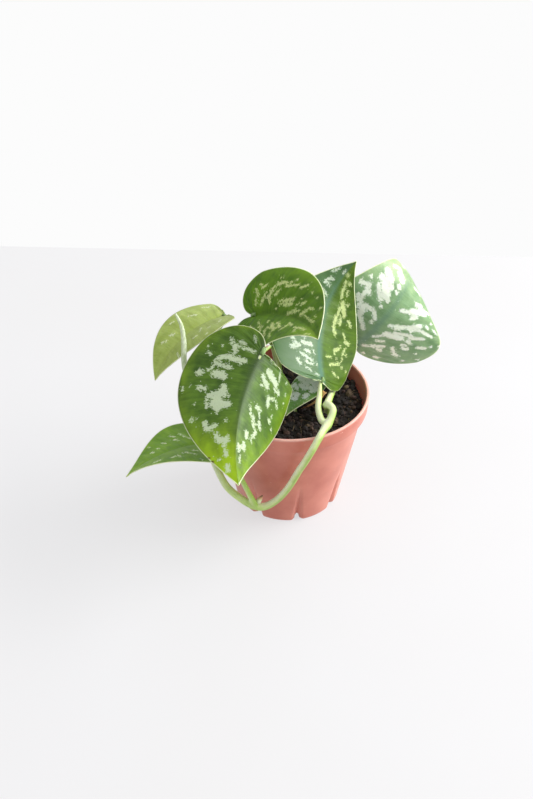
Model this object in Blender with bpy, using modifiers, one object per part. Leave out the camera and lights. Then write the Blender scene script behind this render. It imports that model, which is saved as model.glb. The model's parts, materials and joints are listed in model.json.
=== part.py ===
"""Young satin pothos in a round plastic nursery pot.

Units are metres, +Z is up and the origin is the middle of the pot's underside.
The camera of the photo looks along +Y, so +X is the right of the picture.
Sizes are written in millimetres below and scaled once, by MM.
"""
import math

import bmesh
import bpy
from mathutils import Matrix, Vector, noise

MM = 0.001
GAP = 0.3                      # clearance left between pieces that touch in life

# pot: injection moulded, eight drainage creases round the foot
RIM_R, POT_H, FOOT_R = 45.0, 72.0, 30.0
COLLAR_H, SHOULDER = 9.5, 1.3  # stiffening collar under the rim
WALL, LIP, FLOOR = 1.1, 1.7, 2.0
CREASES, CREASE_TOP, CREASE_DEPTH, CREASE_WIDTH = 8, 30.0, 3.8, 7.0
CREASE_START = math.radians(-79.6)

# soil
SOIL_Z, SOIL_BUMP, SOIL_CLEAR = 65.5, 0.9, 0.35
HOLE_DEPTH = 12.0

# blades
BLADE_T = 0.8
ROWS, COLS = 22, 4             # steps along the margin and from midrib to margin
FAN = 0.30                     # share of the margin whose veins start at the petiole
OUTLINE = (                    # half outline, x along the midrib, y outwards, share of length
    (-0.015, 0.004), (-0.085, 0.014), (-0.155, 0.075), (-0.185, 0.175), (-0.16, 0.29),
    (-0.07, 0.395), (0.06, 0.462), (0.21, 0.485), (0.37, 0.455), (0.54, 0.365),
    (0.70, 0.245), (0.84, 0.125), (0.94, 0.045), (1.0, 0.0))

# Each blade: where the petiole joins (mm), compass heading of the midrib, its pitch and roll,
# its length, the two half widths, the bend, veer and twist met on the way to the tip, and for
# each half the fold off the midrib and the curl out to the margin. Angles are in degrees. A
# blunt blade has its widest places pushed towards the tip, which rounds off its shoulders.
LEAVES = {
    "leaf_a": dict(at=(-14.5, -27.4, 115.5), heading=-118, pitch=-23, roll=-28, length=79,
                   wide=(0.90, 0.99), bend=21, veer=30, twist=0, fold=(-31, -26),
                   curl=(-19, -10), lobe=(0.10, 0.89)),
    "leaf_b": dict(at=(-18.4, 12.2, 113.5), heading=-29, pitch=25, roll=18, length=61.5,
                   wide=(0.98, 0.93), bend=-3, veer=-54, twist=-20, fold=(35, 8),
                   curl=(-33, -34), lobe=(0.84, 0.84)),
    "leaf_c": dict(at=(18.0, -12.3, 88.3), heading=99, pitch=35, roll=35, length=72.5,
                   wide=(0.90, 0.96), bend=38, veer=-46, twist=-47, fold=(12, -21),
                   curl=(-32, 0), lobe=(0.14, 0.36), late=1.4, blunt=(0.10, 0.13)),
    "leaf_d": dict(at=(40.6, 39.5, 74.0), heading=-36, pitch=54, roll=113, length=79,
                   wide=(0.94, 1.24), bend=-185, veer=-10, twist=18, fold=(4, -16),
                   curl=(-6, -8), lobe=(0.55, 0.55), late=2.0),
    "leaf_e": dict(at=(-35.9, 20.9, 107.5), heading=202, pitch=-2, roll=22, length=55,
                   wide=(0.85, 0.97), bend=-57, veer=13, twist=-23, fold=(9, 15),
                   curl=(-10, -17), lobe=(0.15, 0.15)),
    "leaf_f": dict(at=(-41.3, -35.6, 62.6), heading=213, pitch=26, roll=6, length=54.5,
                   wide=(0.94, 0.95), bend=-46, veer=-7, twist=24, fold=(7, 1),
                   curl=(-18, 3), lobe=(0.90, 0.90)),
    "leaf_g": dict(at=(13.2, 1.6, 78.6), heading=-124, pitch=-10, roll=4, length=29,
                   wide=(0.76, 0.60), bend=-14, veer=0, twist=11, fold=(6, 8),
                   curl=(-22, -12), lobe=(0.4, 0.4)),
}

# stems: points in mm with the radius there
VINE = (
    (21, -13.5, 56, 2.0), (21, -13.6, 64, 2.0), (20.8, -15.8, 71, 2.0), (20, -24.5, 79.5, 2.4),
    (21.8, -28, 81.8, 2.1), (23, -31, 81, 2.0), (21.6, -34.5, 78.3, 2.1), (19.8, -37, 76.3, 2.6),
    (17.6, -41, 75.6, 2.1), (15.1, -46, 74.4, 2.0), (11.5, -49.5, 69, 2.0), (7.9, -49.5, 61, 2.0),
    (5.2, -47.5, 53.8, 2.0), (1.3, -44.5, 42, 2.0), (-2.6, -42, 32.5, 2.0), (-7.4, -40, 24.5, 2.1),
    (-13.5, -39.6, 20, 2.3), (-19.5, -40.3, 21.6, 2.5), (-27, -40.6, 27.4, 2.2),
    (-34.2, -39.5, 35, 2.1), (-39.5, -33, 42, 2.0), (-44.5, -22, 48, 1.9), (-48.5, -12, 55, 1.9),
    (-51, -8.5, 64, 1.8), (-51.5, -10, 73, 1.9), (-51, -12.5, 80, 2.1))
# side stems that grow out of the vine, and stems that rise from the soil; the last point of
# each is added under the blade it carries
BRANCHES = {
    "leaf_c": ((19.8, -36.5, 76.5, 2.0), (16.8, -34, 77.2, 1.9), (15.3, -27.5, 80.2, 1.8),
               (16.2, -19, 82.6, 1.5)),
    "leaf_d": ((20, -24, 79.5, 2.1), (24.0, -4, 73.0, 1.8), (28, 12, 72.3, 1.6),
               (34.6, 28, 76, 1.4)),
    "leaf_e": ((-51, -12, 79.5, 1.8), (-50, -6, 87, 1.6), (-44, 7, 95, 1.4),
               (-39, 16, 101, 1.3)),
    "leaf_f": ((-18.5, -40.6, 21.5, 2.0), (-22, -42, 32, 1.6), (-27, -42.3, 45, 1.5),
               (-33.5, -39.8, 55, 1.4)),
}
PETIOLES = {
    "leaf_a": ((3.6, -12, 56, 1.5), (3.6, -12, 64, 1.5), (1.2, -8, 70, 1.5),
               (-3.6, -2, 77.5, 1.4), (-6.2, -1.5, 95, 1.4), (-9.6, -8.6, 106.8, 1.3)),
    "leaf_b": ((-5, 17, 56, 1.5), (-5, 17, 64, 1.5), (-8.5, 21, 85, 1.4), (-14.5, 17, 104, 1.3)),
    "leaf_g": ((11, 12, 56, 1.2), (11, 12, 65, 1.2), (12.6, 7, 73, 1.1)),
}
SEATED_ABOVE = ("leaf_d",)      # its petiole comes round to the upper side

NEW_LEAF = ((-52.5, -14.2, 84.6, 1.0), (-55.4, -15.6, 94, 1.4), (-56.2, -14.5, 102, 1.6),
            (-56, -11.5, 111, 1.5), (-57, -8, 119.5, 1.1), (-60, -6, 126, 0.55))
SHEATH = ((19.4, -13.6, 80.4), (17.2, -15.6, 78.2), (14.4, -16.4, 75.4),
          (10.6, -16.2, 72.4), (6.8, -14.2, 69.0))
SHEATH_W, SHEATH_T = 2.2, 0.7
BUD_AT, BUD_LEAN = (-15.6, -40.4, 27.6), (0.35, -0.1, 1.0)

COLOURS = {
    "pot": (0.48, 0.13, 0.09), "soil": (0.02, 0.012, 0.008), "vine": (0.50, 0.62, 0.25),
    "petiole_a": (0.45, 0.58, 0.22), "petiole_b": (0.45, 0.58, 0.22),
    "petiole_g": (0.45, 0.58, 0.22), "new_leaf": (0.62, 0.72, 0.42),
    "dry_sheath": (0.45, 0.28, 0.14), "bud_scale": (0.38, 0.22, 0.12),
    "leaf_a": (0.10, 0.18, 0.09), "leaf_b": (0.16, 0.25, 0.06), "leaf_c": (0.14, 0.22, 0.08),
    "leaf_d": (0.24, 0.32, 0.20), "leaf_e": (0.35, 0.45, 0.16), "leaf_f": (0.14, 0.24, 0.07),
    "leaf_g": (0.35, 0.42, 0.34)}


def clear_scene():
    for ob in list(bpy.data.objects):
        bpy.data.objects.remove(ob, do_unlink=True)


def collection(name):
    found = bpy.data.collections.new(name)
    bpy.context.scene.collection.children.link(found)
    return found


def add_object(name, mesh, where):
    ob = bpy.data.objects.new(name, mesh)
    where.objects.link(ob)
    return ob


def finish(name, bm, where):
    """Turn a bmesh in millimetres into the named object, in metres."""
    bmesh.ops.scale(bm, vec=(MM, MM, MM), verts=bm.verts)
    mesh = bpy.data.meshes.new(name)
    bm.to_mesh(mesh)
    bm.free()
    material = bpy.data.materials.new(name)
    material.use_nodes = True
    shader = material.node_tree.nodes["Principled BSDF"]
    shader.inputs["Base Color"].default_value = (*COLOURS[name], 1.0)
    shader.inputs["Roughness"].default_value = 0.5
    mesh.materials.append(material)
    return add_object(name, mesh, where)


def spline(points, count):
    """Points spread evenly along a smooth run through the given ones."""
    pts = [Vector(p) for p in points]
    pts = [2 * pts[0] - pts[1]] + pts + [2 * pts[-1] - pts[-2]]
    spans = len(pts) - 3
    dense = []
    for k in range(spans * 12 + 1):
        i = min(k // 12, spans - 1)
        t = k / 12 - i
        a, b, c, d = pts[i:i + 4]
        dense.append(0.5 * (2 * b + (c - a) * t + (2 * a - 5 * b + 4 * c - d) * t ** 2
                            + (3 * b - a - 3 * c + d) * t ** 3))
    lengths = [0.0]
    for p, q in zip(dense, dense[1:]):
        lengths.append(lengths[-1] + (Vector(q[:3]) - Vector(p[:3])).length)
    out, j = [], 0
    for k in range(count):
        want = lengths[-1] * k / (count - 1)
        while j < len(dense) - 2 and lengths[j + 1] < want:
            j += 1
        f = (want - lengths[j]) / max(lengths[j + 1] - lengths[j], 1e-9)
        out.append(dense[j].lerp(dense[j + 1], min(max(f, 0.0), 1.0)))
    return out


def tube(name, points, count):
    """A stem: a bevelled curve through the points, made into a closed mesh."""
    curve = bpy.data.curves.new(name, "CURVE")
    curve.dimensions = "3D"
    curve.bevel_depth, curve.bevel_resolution, curve.use_fill_caps = 1.0, 2, True
    run = curve.splines.new("POLY")
    run.points.add(count - 1)
    for point, (x, y, z, r) in zip(run.points, spline(points, count)):
        point.co, point.radius = (x, y, z, 1.0), r
    ob = add_object(name + "_curve", curve, CUTTERS)
    mesh = bpy.data.meshes.new_from_object(ob)
    bm = bmesh.new()
    bm.from_mesh(mesh)
    bpy.data.objects.remove(ob, do_unlink=True)
    bmesh.ops.remove_doubles(bm, verts=bm.verts, dist=0.0001)
    bmesh.ops.recalc_face_normals(bm, faces=bm.faces)
    return bm


def boolean(bm, other, operation):
    """Join or cut two bmeshes with the exact solver; both are in millimetres."""
    obs = []
    for part in (bm, other):
        mesh = bpy.data.meshes.new("scratch")
        part.to_mesh(mesh)
        part.free()
        obs.append(add_object("scratch", mesh, CUTTERS))
    mod = obs[0].modifiers.new("cut", "BOOLEAN")
    mod.operation, mod.solver, mod.object = operation, "EXACT", obs[1]
    bpy.context.view_layer.update()
    done = obs[0].evaluated_get(bpy.context.evaluated_depsgraph_get())
    out = bmesh.new()
    out.from_mesh(bpy.data.meshes.new_from_object(done))
    for ob in obs:
        bpy.data.objects.remove(ob, do_unlink=True)
    bmesh.ops.remove_doubles(out, verts=out.verts, dist=0.0001)
    return out


def crease_push(x, y, z, depth):
    """How far a drainage crease pushes the wall in at this place."""
    if z >= CREASE_TOP:
        return 0.0
    step = 2 * math.pi / CREASES
    angle = (math.atan2(y, x) - CREASE_START + step / 2) % step - step / 2
    down = 1 - z / CREASE_TOP
    half = 0.5 * CREASE_WIDTH * (0.35 + 0.65 * down)
    across = abs(angle) * math.hypot(x, y) / half
    return depth * down ** 1.3 * max(0.0, 1 - across)


def spun(profile, steps):
    """A turned shape from a closed profile of (radius, height) pairs."""
    bm = bmesh.new()
    verts = [bm.verts.new((r, 0, z)) for r, z in profile]
    edges = [bm.edges.new((a, b)) for a, b in zip(verts, verts[1:] + verts[:1])]
    start = Matrix.Rotation(CREASE_START, 3, "Z")
    bmesh.ops.rotate(bm, verts=verts, cent=(0, 0, 0), matrix=start)
    bmesh.ops.spin(bm, geom=verts + edges, cent=(0, 0, 0), axis=(0, 0, 1),
                   angle=2 * math.pi, steps=steps, use_merge=True)
    bmesh.ops.remove_doubles(bm, verts=bm.verts, dist=0.0001)
    bmesh.ops.recalc_face_normals(bm, faces=bm.faces)
    return bm


def wall_r(z):
    """Outer radius of the pot's plain wall at a height."""
    return FOOT_R + (RIM_R - 0.6 - SHOULDER * 1.6 - FOOT_R) * z / (POT_H - COLLAR_H)


def build_pot(where):
    low = POT_H - COLLAR_H
    heights = (CREASE_TOP, 20.0, 10.0, 0.0)
    outer = [(RIM_R - 0.3, POT_H), (RIM_R, POT_H - 0.6), (RIM_R, POT_H - 1.8),
             (RIM_R - 0.6, low + 0.5), (RIM_R - 0.9, low), (wall_r(low), low - 0.4)]
    outer += [(wall_r(z), z) for z in heights]
    inner = [(wall_r(z) - WALL, z) for z in (FLOOR, 10.0, 20.0, CREASE_TOP)]
    inner += [(wall_r(low) - WALL, low - 1.5), (RIM_R - LIP - 0.6, low + 1.0),
              (RIM_R - LIP, POT_H - 1.2), (RIM_R - LIP + 0.3, POT_H)]
    profile = outer + [(20.0, 0.0), (8.0, 0.0), (8.0, FLOOR), (20.0, FLOOR)] + inner
    bm = spun(profile, CREASES * 12)
    close_floor(bm)
    for v in bm.verts:
        r = math.hypot(v.co.x, v.co.y)
        if r > 21:
            push = crease_push(v.co.x, v.co.y, v.co.z, CREASE_DEPTH)
            v.co.x *= (r - push) / r
            v.co.y *= (r - push) / r
    for k in range(CREASES):
        angle = CREASE_START + 2 * math.pi * k / CREASES
        bm = boolean(bm, drain_cutter(angle), "DIFFERENCE")
    bmesh.ops.triangulate(bm, faces=bm.faces)
    return finish("pot", bm, where)


def close_floor(bm):
    """Fill the two round holes left in the middle of the floor."""
    loops = [e for e in bm.edges if e.is_boundary]
    bmesh.ops.holes_fill(bm, edges=loops, sides=0)
    inner = [f for f in bm.faces if abs(f.normal.z) < 0.1
             and all(math.hypot(*v.co.xy) < 8.1 for v in f.verts)]
    if inner:
        bmesh.ops.delete(bm, geom=inner, context="FACES")
        bmesh.ops.holes_fill(bm, edges=[e for e in bm.edges if e.is_boundary], sides=0)
    bmesh.ops.recalc_face_normals(bm, faces=bm.faces)


def drain_cutter(angle):
    """A block that opens the foot of one crease."""
    bm = bmesh.new()
    bmesh.ops.create_cube(bm, size=1.0)
    bmesh.ops.scale(bm, vec=(6.0, 3.0, 6.0), verts=bm.verts)
    bmesh.ops.translate(bm, vec=(FOOT_R - CREASE_DEPTH - 0.4, 0, 0.5), verts=bm.verts)
    bmesh.ops.rotate(bm, verts=bm.verts, cent=(0, 0, 0),
                     matrix=Matrix.Rotation(angle, 3, "Z"))
    return bm


def build_soil(where):
    bottom = FLOOR + SOIL_CLEAR
    side = WALL + SOIL_CLEAR
    deep = CREASE_DEPTH + 0.3
    profile = [(wall_r(bottom) - side - deep, bottom),
               (wall_r(CREASE_TOP) - side - 0.6, CREASE_TOP + 1),
               (wall_r(SOIL_Z - 4) - side - 0.8, SOIL_Z - 4.5),
               (wall_r(SOIL_Z - 4) - side - 0.4, SOIL_Z - 0.8)]
    profile += [(r, SOIL_Z) for r in (36.0, 31.0, 26.0, 21.0, 16.0, 11.0, 6.0)]
    bm = bmesh.new()
    verts = [bm.verts.new((r, 0, z)) for r, z in profile]
    edges = [bm.edges.new(pair) for pair in zip(verts, verts[1:])]
    bmesh.ops.spin(bm, geom=verts + edges, cent=(0, 0, 0), axis=(0, 0, 1),
                   angle=2 * math.pi, steps=36, use_merge=True)
    bmesh.ops.remove_doubles(bm, verts=bm.verts, dist=0.0001)
    bmesh.ops.holes_fill(bm, edges=[e for e in bm.edges if e.is_boundary], sides=0)
    bmesh.ops.recalc_face_normals(bm, faces=bm.faces)
    for v in bm.verts:
        if v.co.z > SOIL_Z - 0.1:
            v.co.z += SOIL_BUMP * noise.noise(v.co * 0.12)
    bmesh.ops.triangulate(bm, faces=[f for f in bm.faces if f.normal.z > 0.5])
    for x, y, r in [(VINE[0][0], VINE[0][1], VINE[0][3])] + [
            (p[0][0], p[0][1], p[0][3]) for p in PETIOLES.values()]:
        hole = bmesh.new()
        bmesh.ops.create_cone(hole, cap_ends=True, segments=16, radius1=r + GAP + 0.2,
                              radius2=r + GAP + 0.9, depth=HOLE_DEPTH + 4)
        bmesh.ops.translate(hole, verts=hole.verts, vec=(x, y, SOIL_Z - HOLE_DEPTH / 2 + 2))
        bm = boolean(bm, hole, "DIFFERENCE")
    bmesh.ops.triangulate(bm, faces=bm.faces)
    return finish("soil", bm, where)


def midrib(leaf, steps=40):
    """Stations along the midrib: place, forward, left and up."""
    heading, pitch, roll = (math.radians(leaf[k]) for k in ("heading", "pitch", "roll"))
    fwd = Vector((math.cos(heading) * math.cos(pitch), math.sin(heading) * math.cos(pitch),
                  math.sin(pitch)))
    left = Vector((-math.sin(heading), math.cos(heading), 0))
    left.rotate(Matrix.Rotation(roll, 3, fwd))
    at, late = Vector(leaf["at"]), leaf.get("late", 1.0)
    rows = [(at.copy(), fwd.copy(), left.copy(), fwd.cross(left))]
    for k in range(steps):
        share = late * ((k + 0.5) / steps) ** (late - 1) / steps
        up = fwd.cross(left)
        turn = (Matrix.Rotation(-math.radians(leaf["bend"]) * share, 3, left)
                @ Matrix.Rotation(math.radians(leaf["veer"]) * share, 3, up)
                @ Matrix.Rotation(math.radians(leaf["twist"]) * share, 3, fwd))
        old = fwd.copy()
        fwd, left = turn @ fwd, turn @ left
        at = at + leaf["length"] / steps * (old + fwd).normalized()
        rows.append((at.copy(), fwd.copy(), left.copy(), fwd.cross(left)))
    return rows


def on_blade(leaf, rows, x, y):
    """Bend a flat place (x along the midrib, y to the left, mm) into the blade's form."""
    steps = len(rows) - 1
    s = min(max(x / leaf["length"], 0), 1) * steps
    i = min(int(s), steps - 1)
    at, fwd, left, up = (a.lerp(b, s - i) for a, b in zip(rows[i], rows[i + 1]))
    at = at + fwd * min(x, 0)
    side = 0 if y >= 0 else 1
    fold = math.radians(leaf["fold"][side])
    curl = math.radians(leaf["curl"][side] or 0.01) / (0.48 * leaf["length"])
    far = abs(y)
    out = (math.sin(fold + curl * far) - math.sin(fold)) / curl
    rise = (math.cos(fold) - math.cos(fold + curl * far)) / curl
    return at + left * (out if side == 0 else -out) + up * rise


def outline(count):
    return spline([(x, y, 0, 0) for x, y in OUTLINE], count)


def flat_place(leaf, margin, a, b):
    """Flat place of a blade's grid corner: a along the margin, b from midrib to margin."""
    side = 0 if b >= 0 else 1
    mx, my = margin[round(a * (len(margin) - 1))][:2]
    mx *= leaf["lobe"][side] if mx < 0 else 1.0
    mx += leaf.get("blunt", (0, 0))[side] * (my / 0.485) ** 3 * max(0.0, 1 - mx / 0.6)
    my *= leaf["wide"][side]
    start = 0.0 if a <= FAN else ((a - FAN) / (1 - FAN)) ** 1.15
    t = abs(b)
    bow = 0.5 * (start + mx) - 0.12 * my
    x = (1 - t) ** 2 * start + 2 * t * (1 - t) * max(bow, min(start, mx)) + t * t * mx
    return x * leaf["length"], math.copysign(my * t * leaf["length"], b)


def build_leaf(name, where):
    leaf = LEAVES[name]
    rows, margin = midrib(leaf), outline(ROWS + 1)
    bm = bmesh.new()
    bmesh.ops.create_grid(bm, x_segments=ROWS, y_segments=2 * COLS, size=0.5)
    for v in bm.verts:
        a, b = v.co.x + 0.5, round(2 * v.co.y * COLS) / COLS
        v.co = on_blade(leaf, rows, *flat_place(leaf, margin, a, b))
    bmesh.ops.remove_doubles(bm, verts=bm.verts, dist=0.05)
    bmesh.ops.dissolve_degenerate(bm, edges=bm.edges, dist=0.02)
    bmesh.ops.triangulate(bm, faces=bm.faces)
    mesh = bpy.data.meshes.new(name)
    bm.to_mesh(mesh)
    bm.free()
    ob = add_object(name + "_sheet", mesh, CUTTERS)
    mod = ob.modifiers.new("thickness", "SOLIDIFY")
    mod.thickness, mod.offset = BLADE_T, -1.0
    done = ob.evaluated_get(bpy.context.evaluated_depsgraph_get())
    bm = bmesh.new()
    bm.from_mesh(bpy.data.meshes.new_from_object(done))
    bpy.data.objects.remove(ob, do_unlink=True)
    bmesh.ops.triangulate(bm, faces=bm.faces)
    return finish(name, bm, where)


def seat(name, radius):
    """Where a petiole ends: just clear of the blade, below the start of the midrib."""
    at, fwd, _, up = midrib(LEAVES[name])[0]
    low, high = min(LEAVES[name]["fold"]), max(LEAVES[name]["fold"])
    if name in SEATED_ABOVE:
        off = GAP + radius * (1.1 + math.tan(math.radians(max(0.0, high))))
        return (*(at - fwd * 1.5 + up * off), radius)
    off = BLADE_T + GAP + radius * (1.1 + math.tan(math.radians(max(0.0, -low))))
    return (*(at + fwd * 1.0 - up * off), radius)


def build_vine(where):
    bm = tube("vine", VINE, 74)
    for name, points in BRANCHES.items():
        bm = boolean(bm, tube(name, points + (seat(name, 1.1),), 12), "UNION")
    bmesh.ops.triangulate(bm, faces=bm.faces)
    return finish("vine", bm, where)


def build_sheath(where):
    """The dried sheath: a narrow curled strip lying from the node to the soil."""
    run = spline([(*p, 0) for p in SHEATH], 9)
    bm = bmesh.new()
    bmesh.ops.create_grid(bm, x_segments=8, y_segments=2, size=0.5)
    for v in bm.verts:
        k, b = round((v.co.x + 0.5) * 8), 2 * v.co.y
        here = Vector(run[k][:3])
        ahead = (Vector(run[min(k + 1, 8)][:3]) - Vector(run[max(k - 1, 0)][:3])).normalized()
        side = ahead.cross(Vector((0, 0, 1))).normalized()
        width = 0.5 * SHEATH_W * (1 - 0.75 * (k / 8) ** 2)
        v.co = here + side * b * width + Vector((0, 0, 0.3 * abs(b)))
    bmesh.ops.triangulate(bm, faces=bm.faces)
    bmesh.ops.solidify(bm, geom=bm.faces[:], thickness=SHEATH_T)
    bmesh.ops.triangulate(bm, faces=bm.faces)
    bmesh.ops.recalc_face_normals(bm, faces=bm.faces)
    return finish("dry_sheath", bm, where)


def build_bud(where):
    bm = bmesh.new()
    bmesh.ops.create_cone(bm, cap_ends=True, segments=10, radius1=1.5, radius2=0.4, depth=3.6)
    turn = Vector((0, 0, 1)).rotation_difference(Vector(BUD_LEAN)).to_matrix()
    bmesh.ops.rotate(bm, verts=bm.verts, cent=(0, 0, 0), matrix=turn)
    bmesh.ops.translate(bm, verts=bm.verts, vec=BUD_AT)
    return finish("bud_scale", bm, where)


def build_all():
    where = collection("satin_pothos")
    build_pot(where)
    build_soil(where)
    build_vine(where)
    for name, points in PETIOLES.items():
        bm = tube(name, points + (seat(name, 0.9),), 18)
        bmesh.ops.triangulate(bm, faces=bm.faces)
        finish(name.replace("leaf", "petiole"), bm, where)
    bm = tube("new_leaf", NEW_LEAF, 14)
    bmesh.ops.triangulate(bm, faces=bm.faces)
    finish("new_leaf", bm, where)
    for name in LEAVES:
        build_leaf(name, where)
    build_sheath(where)
    build_bud(where)
    CUTTERS.hide_render = True


clear_scene()
CUTTERS = collection("cutters")
build_all()
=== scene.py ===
# %% [markdown]
# A young satin pothos in its nursery pot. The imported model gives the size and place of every
# piece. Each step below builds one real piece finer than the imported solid, and says how.

import json
import math

import bmesh
import bpy
import numpy as np
from mathutils import Matrix, Vector, noise

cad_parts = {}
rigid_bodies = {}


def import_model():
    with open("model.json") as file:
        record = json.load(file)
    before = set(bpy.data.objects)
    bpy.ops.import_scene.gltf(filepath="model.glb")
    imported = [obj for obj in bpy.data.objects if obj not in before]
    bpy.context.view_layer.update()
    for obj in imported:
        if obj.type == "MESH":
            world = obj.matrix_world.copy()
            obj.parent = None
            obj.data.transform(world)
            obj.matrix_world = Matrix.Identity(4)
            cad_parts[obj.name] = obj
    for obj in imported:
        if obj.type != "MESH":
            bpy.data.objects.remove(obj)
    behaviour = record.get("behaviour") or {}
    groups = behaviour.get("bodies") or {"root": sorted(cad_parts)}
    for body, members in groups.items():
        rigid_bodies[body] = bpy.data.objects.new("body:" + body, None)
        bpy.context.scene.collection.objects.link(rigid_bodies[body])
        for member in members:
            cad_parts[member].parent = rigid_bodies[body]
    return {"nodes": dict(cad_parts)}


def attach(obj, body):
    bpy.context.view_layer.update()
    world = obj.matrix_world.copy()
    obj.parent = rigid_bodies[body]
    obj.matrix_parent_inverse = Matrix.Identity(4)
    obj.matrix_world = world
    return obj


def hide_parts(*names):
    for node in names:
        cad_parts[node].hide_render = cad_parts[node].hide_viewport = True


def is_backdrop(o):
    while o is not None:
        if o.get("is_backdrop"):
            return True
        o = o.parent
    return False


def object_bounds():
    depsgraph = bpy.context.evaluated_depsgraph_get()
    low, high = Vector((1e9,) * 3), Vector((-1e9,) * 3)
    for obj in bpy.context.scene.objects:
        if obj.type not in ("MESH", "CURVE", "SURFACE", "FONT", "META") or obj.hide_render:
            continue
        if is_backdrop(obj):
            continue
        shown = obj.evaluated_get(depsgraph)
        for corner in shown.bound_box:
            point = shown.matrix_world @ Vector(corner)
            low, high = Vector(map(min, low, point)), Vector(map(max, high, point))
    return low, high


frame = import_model()
cad_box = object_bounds()
MM = 0.001                           # lengths below are in millimetres unless they say metres
print("packed nodes:", sorted(frame["nodes"]))

# %% [markdown]
# The picture looks down on the plant at about 37 degrees through a normal lens from some 60 cm
# away. A 50 mm lens on a 36 mm long side gives that perspective.

# %% Camera
CAMERA_AT, LOOKS_DOWN = (-0.01233, -0.49506, 0.4433), 37.4      # metres, degrees
LENS, LONG_SIDE = 50, 36
camera = bpy.data.objects.new("camera", bpy.data.cameras.new("camera"))
bpy.context.scene.collection.objects.link(camera)
bpy.context.scene.camera = camera
camera.location = CAMERA_AT
camera.rotation_euler = (math.radians(90 - LOOKS_DOWN), 0, 0)
camera.data.lens, camera.data.sensor_width = LENS, LONG_SIDE
print("camera looks down", LOOKS_DOWN, "degrees from", round(camera.location.length, 2), "m")


# %% [markdown]
# Materials are node trees. One helper adds a node, sets its options and fills or links its
# sockets, so that each tree reads as a short list. Colours are picked as sRGB hex values, and
# Blender's sockets want linear light, so one function converts them. Two more serve most
# finishes here: a ramp of shades, and the light that goes a little way into leaf and plastic.

# %% Helpers for materials
def colour(code):
    """An sRGB hex colour as linear red, green, blue and alpha."""
    parts = [int(code[i:i + 2], 16) / 255 for i in (1, 3, 5)]
    return (*(c / 12.92 if c <= 0.04045 else ((c + 0.055) / 1.055) ** 2.4 for c in parts), 1.0)


def add(tree, kind, sockets=(), **options):
    """Add a node. Each socket is filled with a value, or linked if it is given an output."""
    made = tree.nodes.new(kind)
    for key, value in options.items():
        setattr(made, key, value)
    for key, value in dict(sockets).items():
        if isinstance(value, bpy.types.NodeSocket):
            tree.links.new(value, made.inputs[key])
        else:
            made.inputs[key].default_value = value
    return made


def new_material(name, **values):
    """A Principled material; returns it with its tree and shader."""
    made = bpy.data.materials.new(name)
    made.use_nodes = True
    shader = made.node_tree.nodes["Principled BSDF"]
    for key, value in values.items():
        shader.inputs[key.replace("_", " ")].default_value = value
    return made, made.node_tree, shader


def shades(tree, value, first, last, between=()):
    """A colour ramp through (position, colour) stops, driven by an output."""
    ramp_node = add(tree, "ShaderNodeValToRGB", {"Fac": value})
    stops = ramp_node.color_ramp.elements
    for stop, (position, code) in zip(stops, (first, last)):
        stop.position, stop.color = position, colour(code)
    for position, code in between:
        stops.new(position).color = colour(code)
    return ramp_node.outputs["Color"]


def let_light_in(shader, weight, radius, scale):
    """Subsurface scattering; the radius is a share of the scale, which is in metres."""
    shader.inputs["Subsurface Weight"].default_value = weight
    shader.inputs["Subsurface Radius"].default_value = radius
    shader.inputs["Subsurface Scale"].default_value = scale


print("white is", [round(c, 2) for c in colour("#ffffff")])

# %% [markdown]
# The table top is plain pale paint. It ends some 23 cm behind the pot, and above it the
# picture is only white. In the studio the table is lit so brightly that it nearly glows, and
# shadows on it are faint. A little emission in the paint gives that, and it also throws soft
# light up under the leaves.

# %% Table
TABLE_SIZE, BACK_EDGE, TABLE_TURN = (3.0, 2.0, 0.03), 0.278, -2.4      # metres, degrees
bm = bmesh.new()
bmesh.ops.create_cube(bm, size=1.0)
bmesh.ops.scale(bm, vec=TABLE_SIZE, verts=bm.verts)
bmesh.ops.translate(bm, vec=(0, BACK_EDGE - TABLE_SIZE[1] / 2, -TABLE_SIZE[2] / 2),
                    verts=bm.verts)
bmesh.ops.rotate(bm, cent=(0, BACK_EDGE, 0), verts=bm.verts,
                 matrix=Matrix.Rotation(math.radians(TABLE_TURN), 3, "Z"))
mesh = bpy.data.meshes.new("table")
bm.to_mesh(mesh)
bm.free()
table = bpy.data.objects.new("table", mesh)
bpy.context.scene.collection.objects.link(table)
table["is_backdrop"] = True
paint, tree, shader = new_material("matt white paint", Roughness=0.7)
place = add(tree, "ShaderNodeTexCoord").outputs["Object"]
cloudy = add(tree, "ShaderNodeTexNoise", {"Vector": place, "Scale": 7.0, "Detail": 3.0})
tone = shades(tree, cloudy.outputs["Fac"], (0.0, "#787674"), (1.0, "#7e7e80"))
tree.links.new(tone, shader.inputs["Base Color"])
shader.inputs["Emission Color"].default_value = colour("#fdfdff")
shader.inputs["Emission Strength"].default_value = 0.63
mesh.materials.append(paint)
print("table", [round(d, 2) for d in table.dimensions], "m")

# %% [markdown]
# The light is a big soft window at the right. It makes the right of the pot and of the leaves
# bright and gives them their satin gloss. The rest comes from a plain white world, brighter on
# the window's side. The white that the camera sees is set apart from it.

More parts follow.
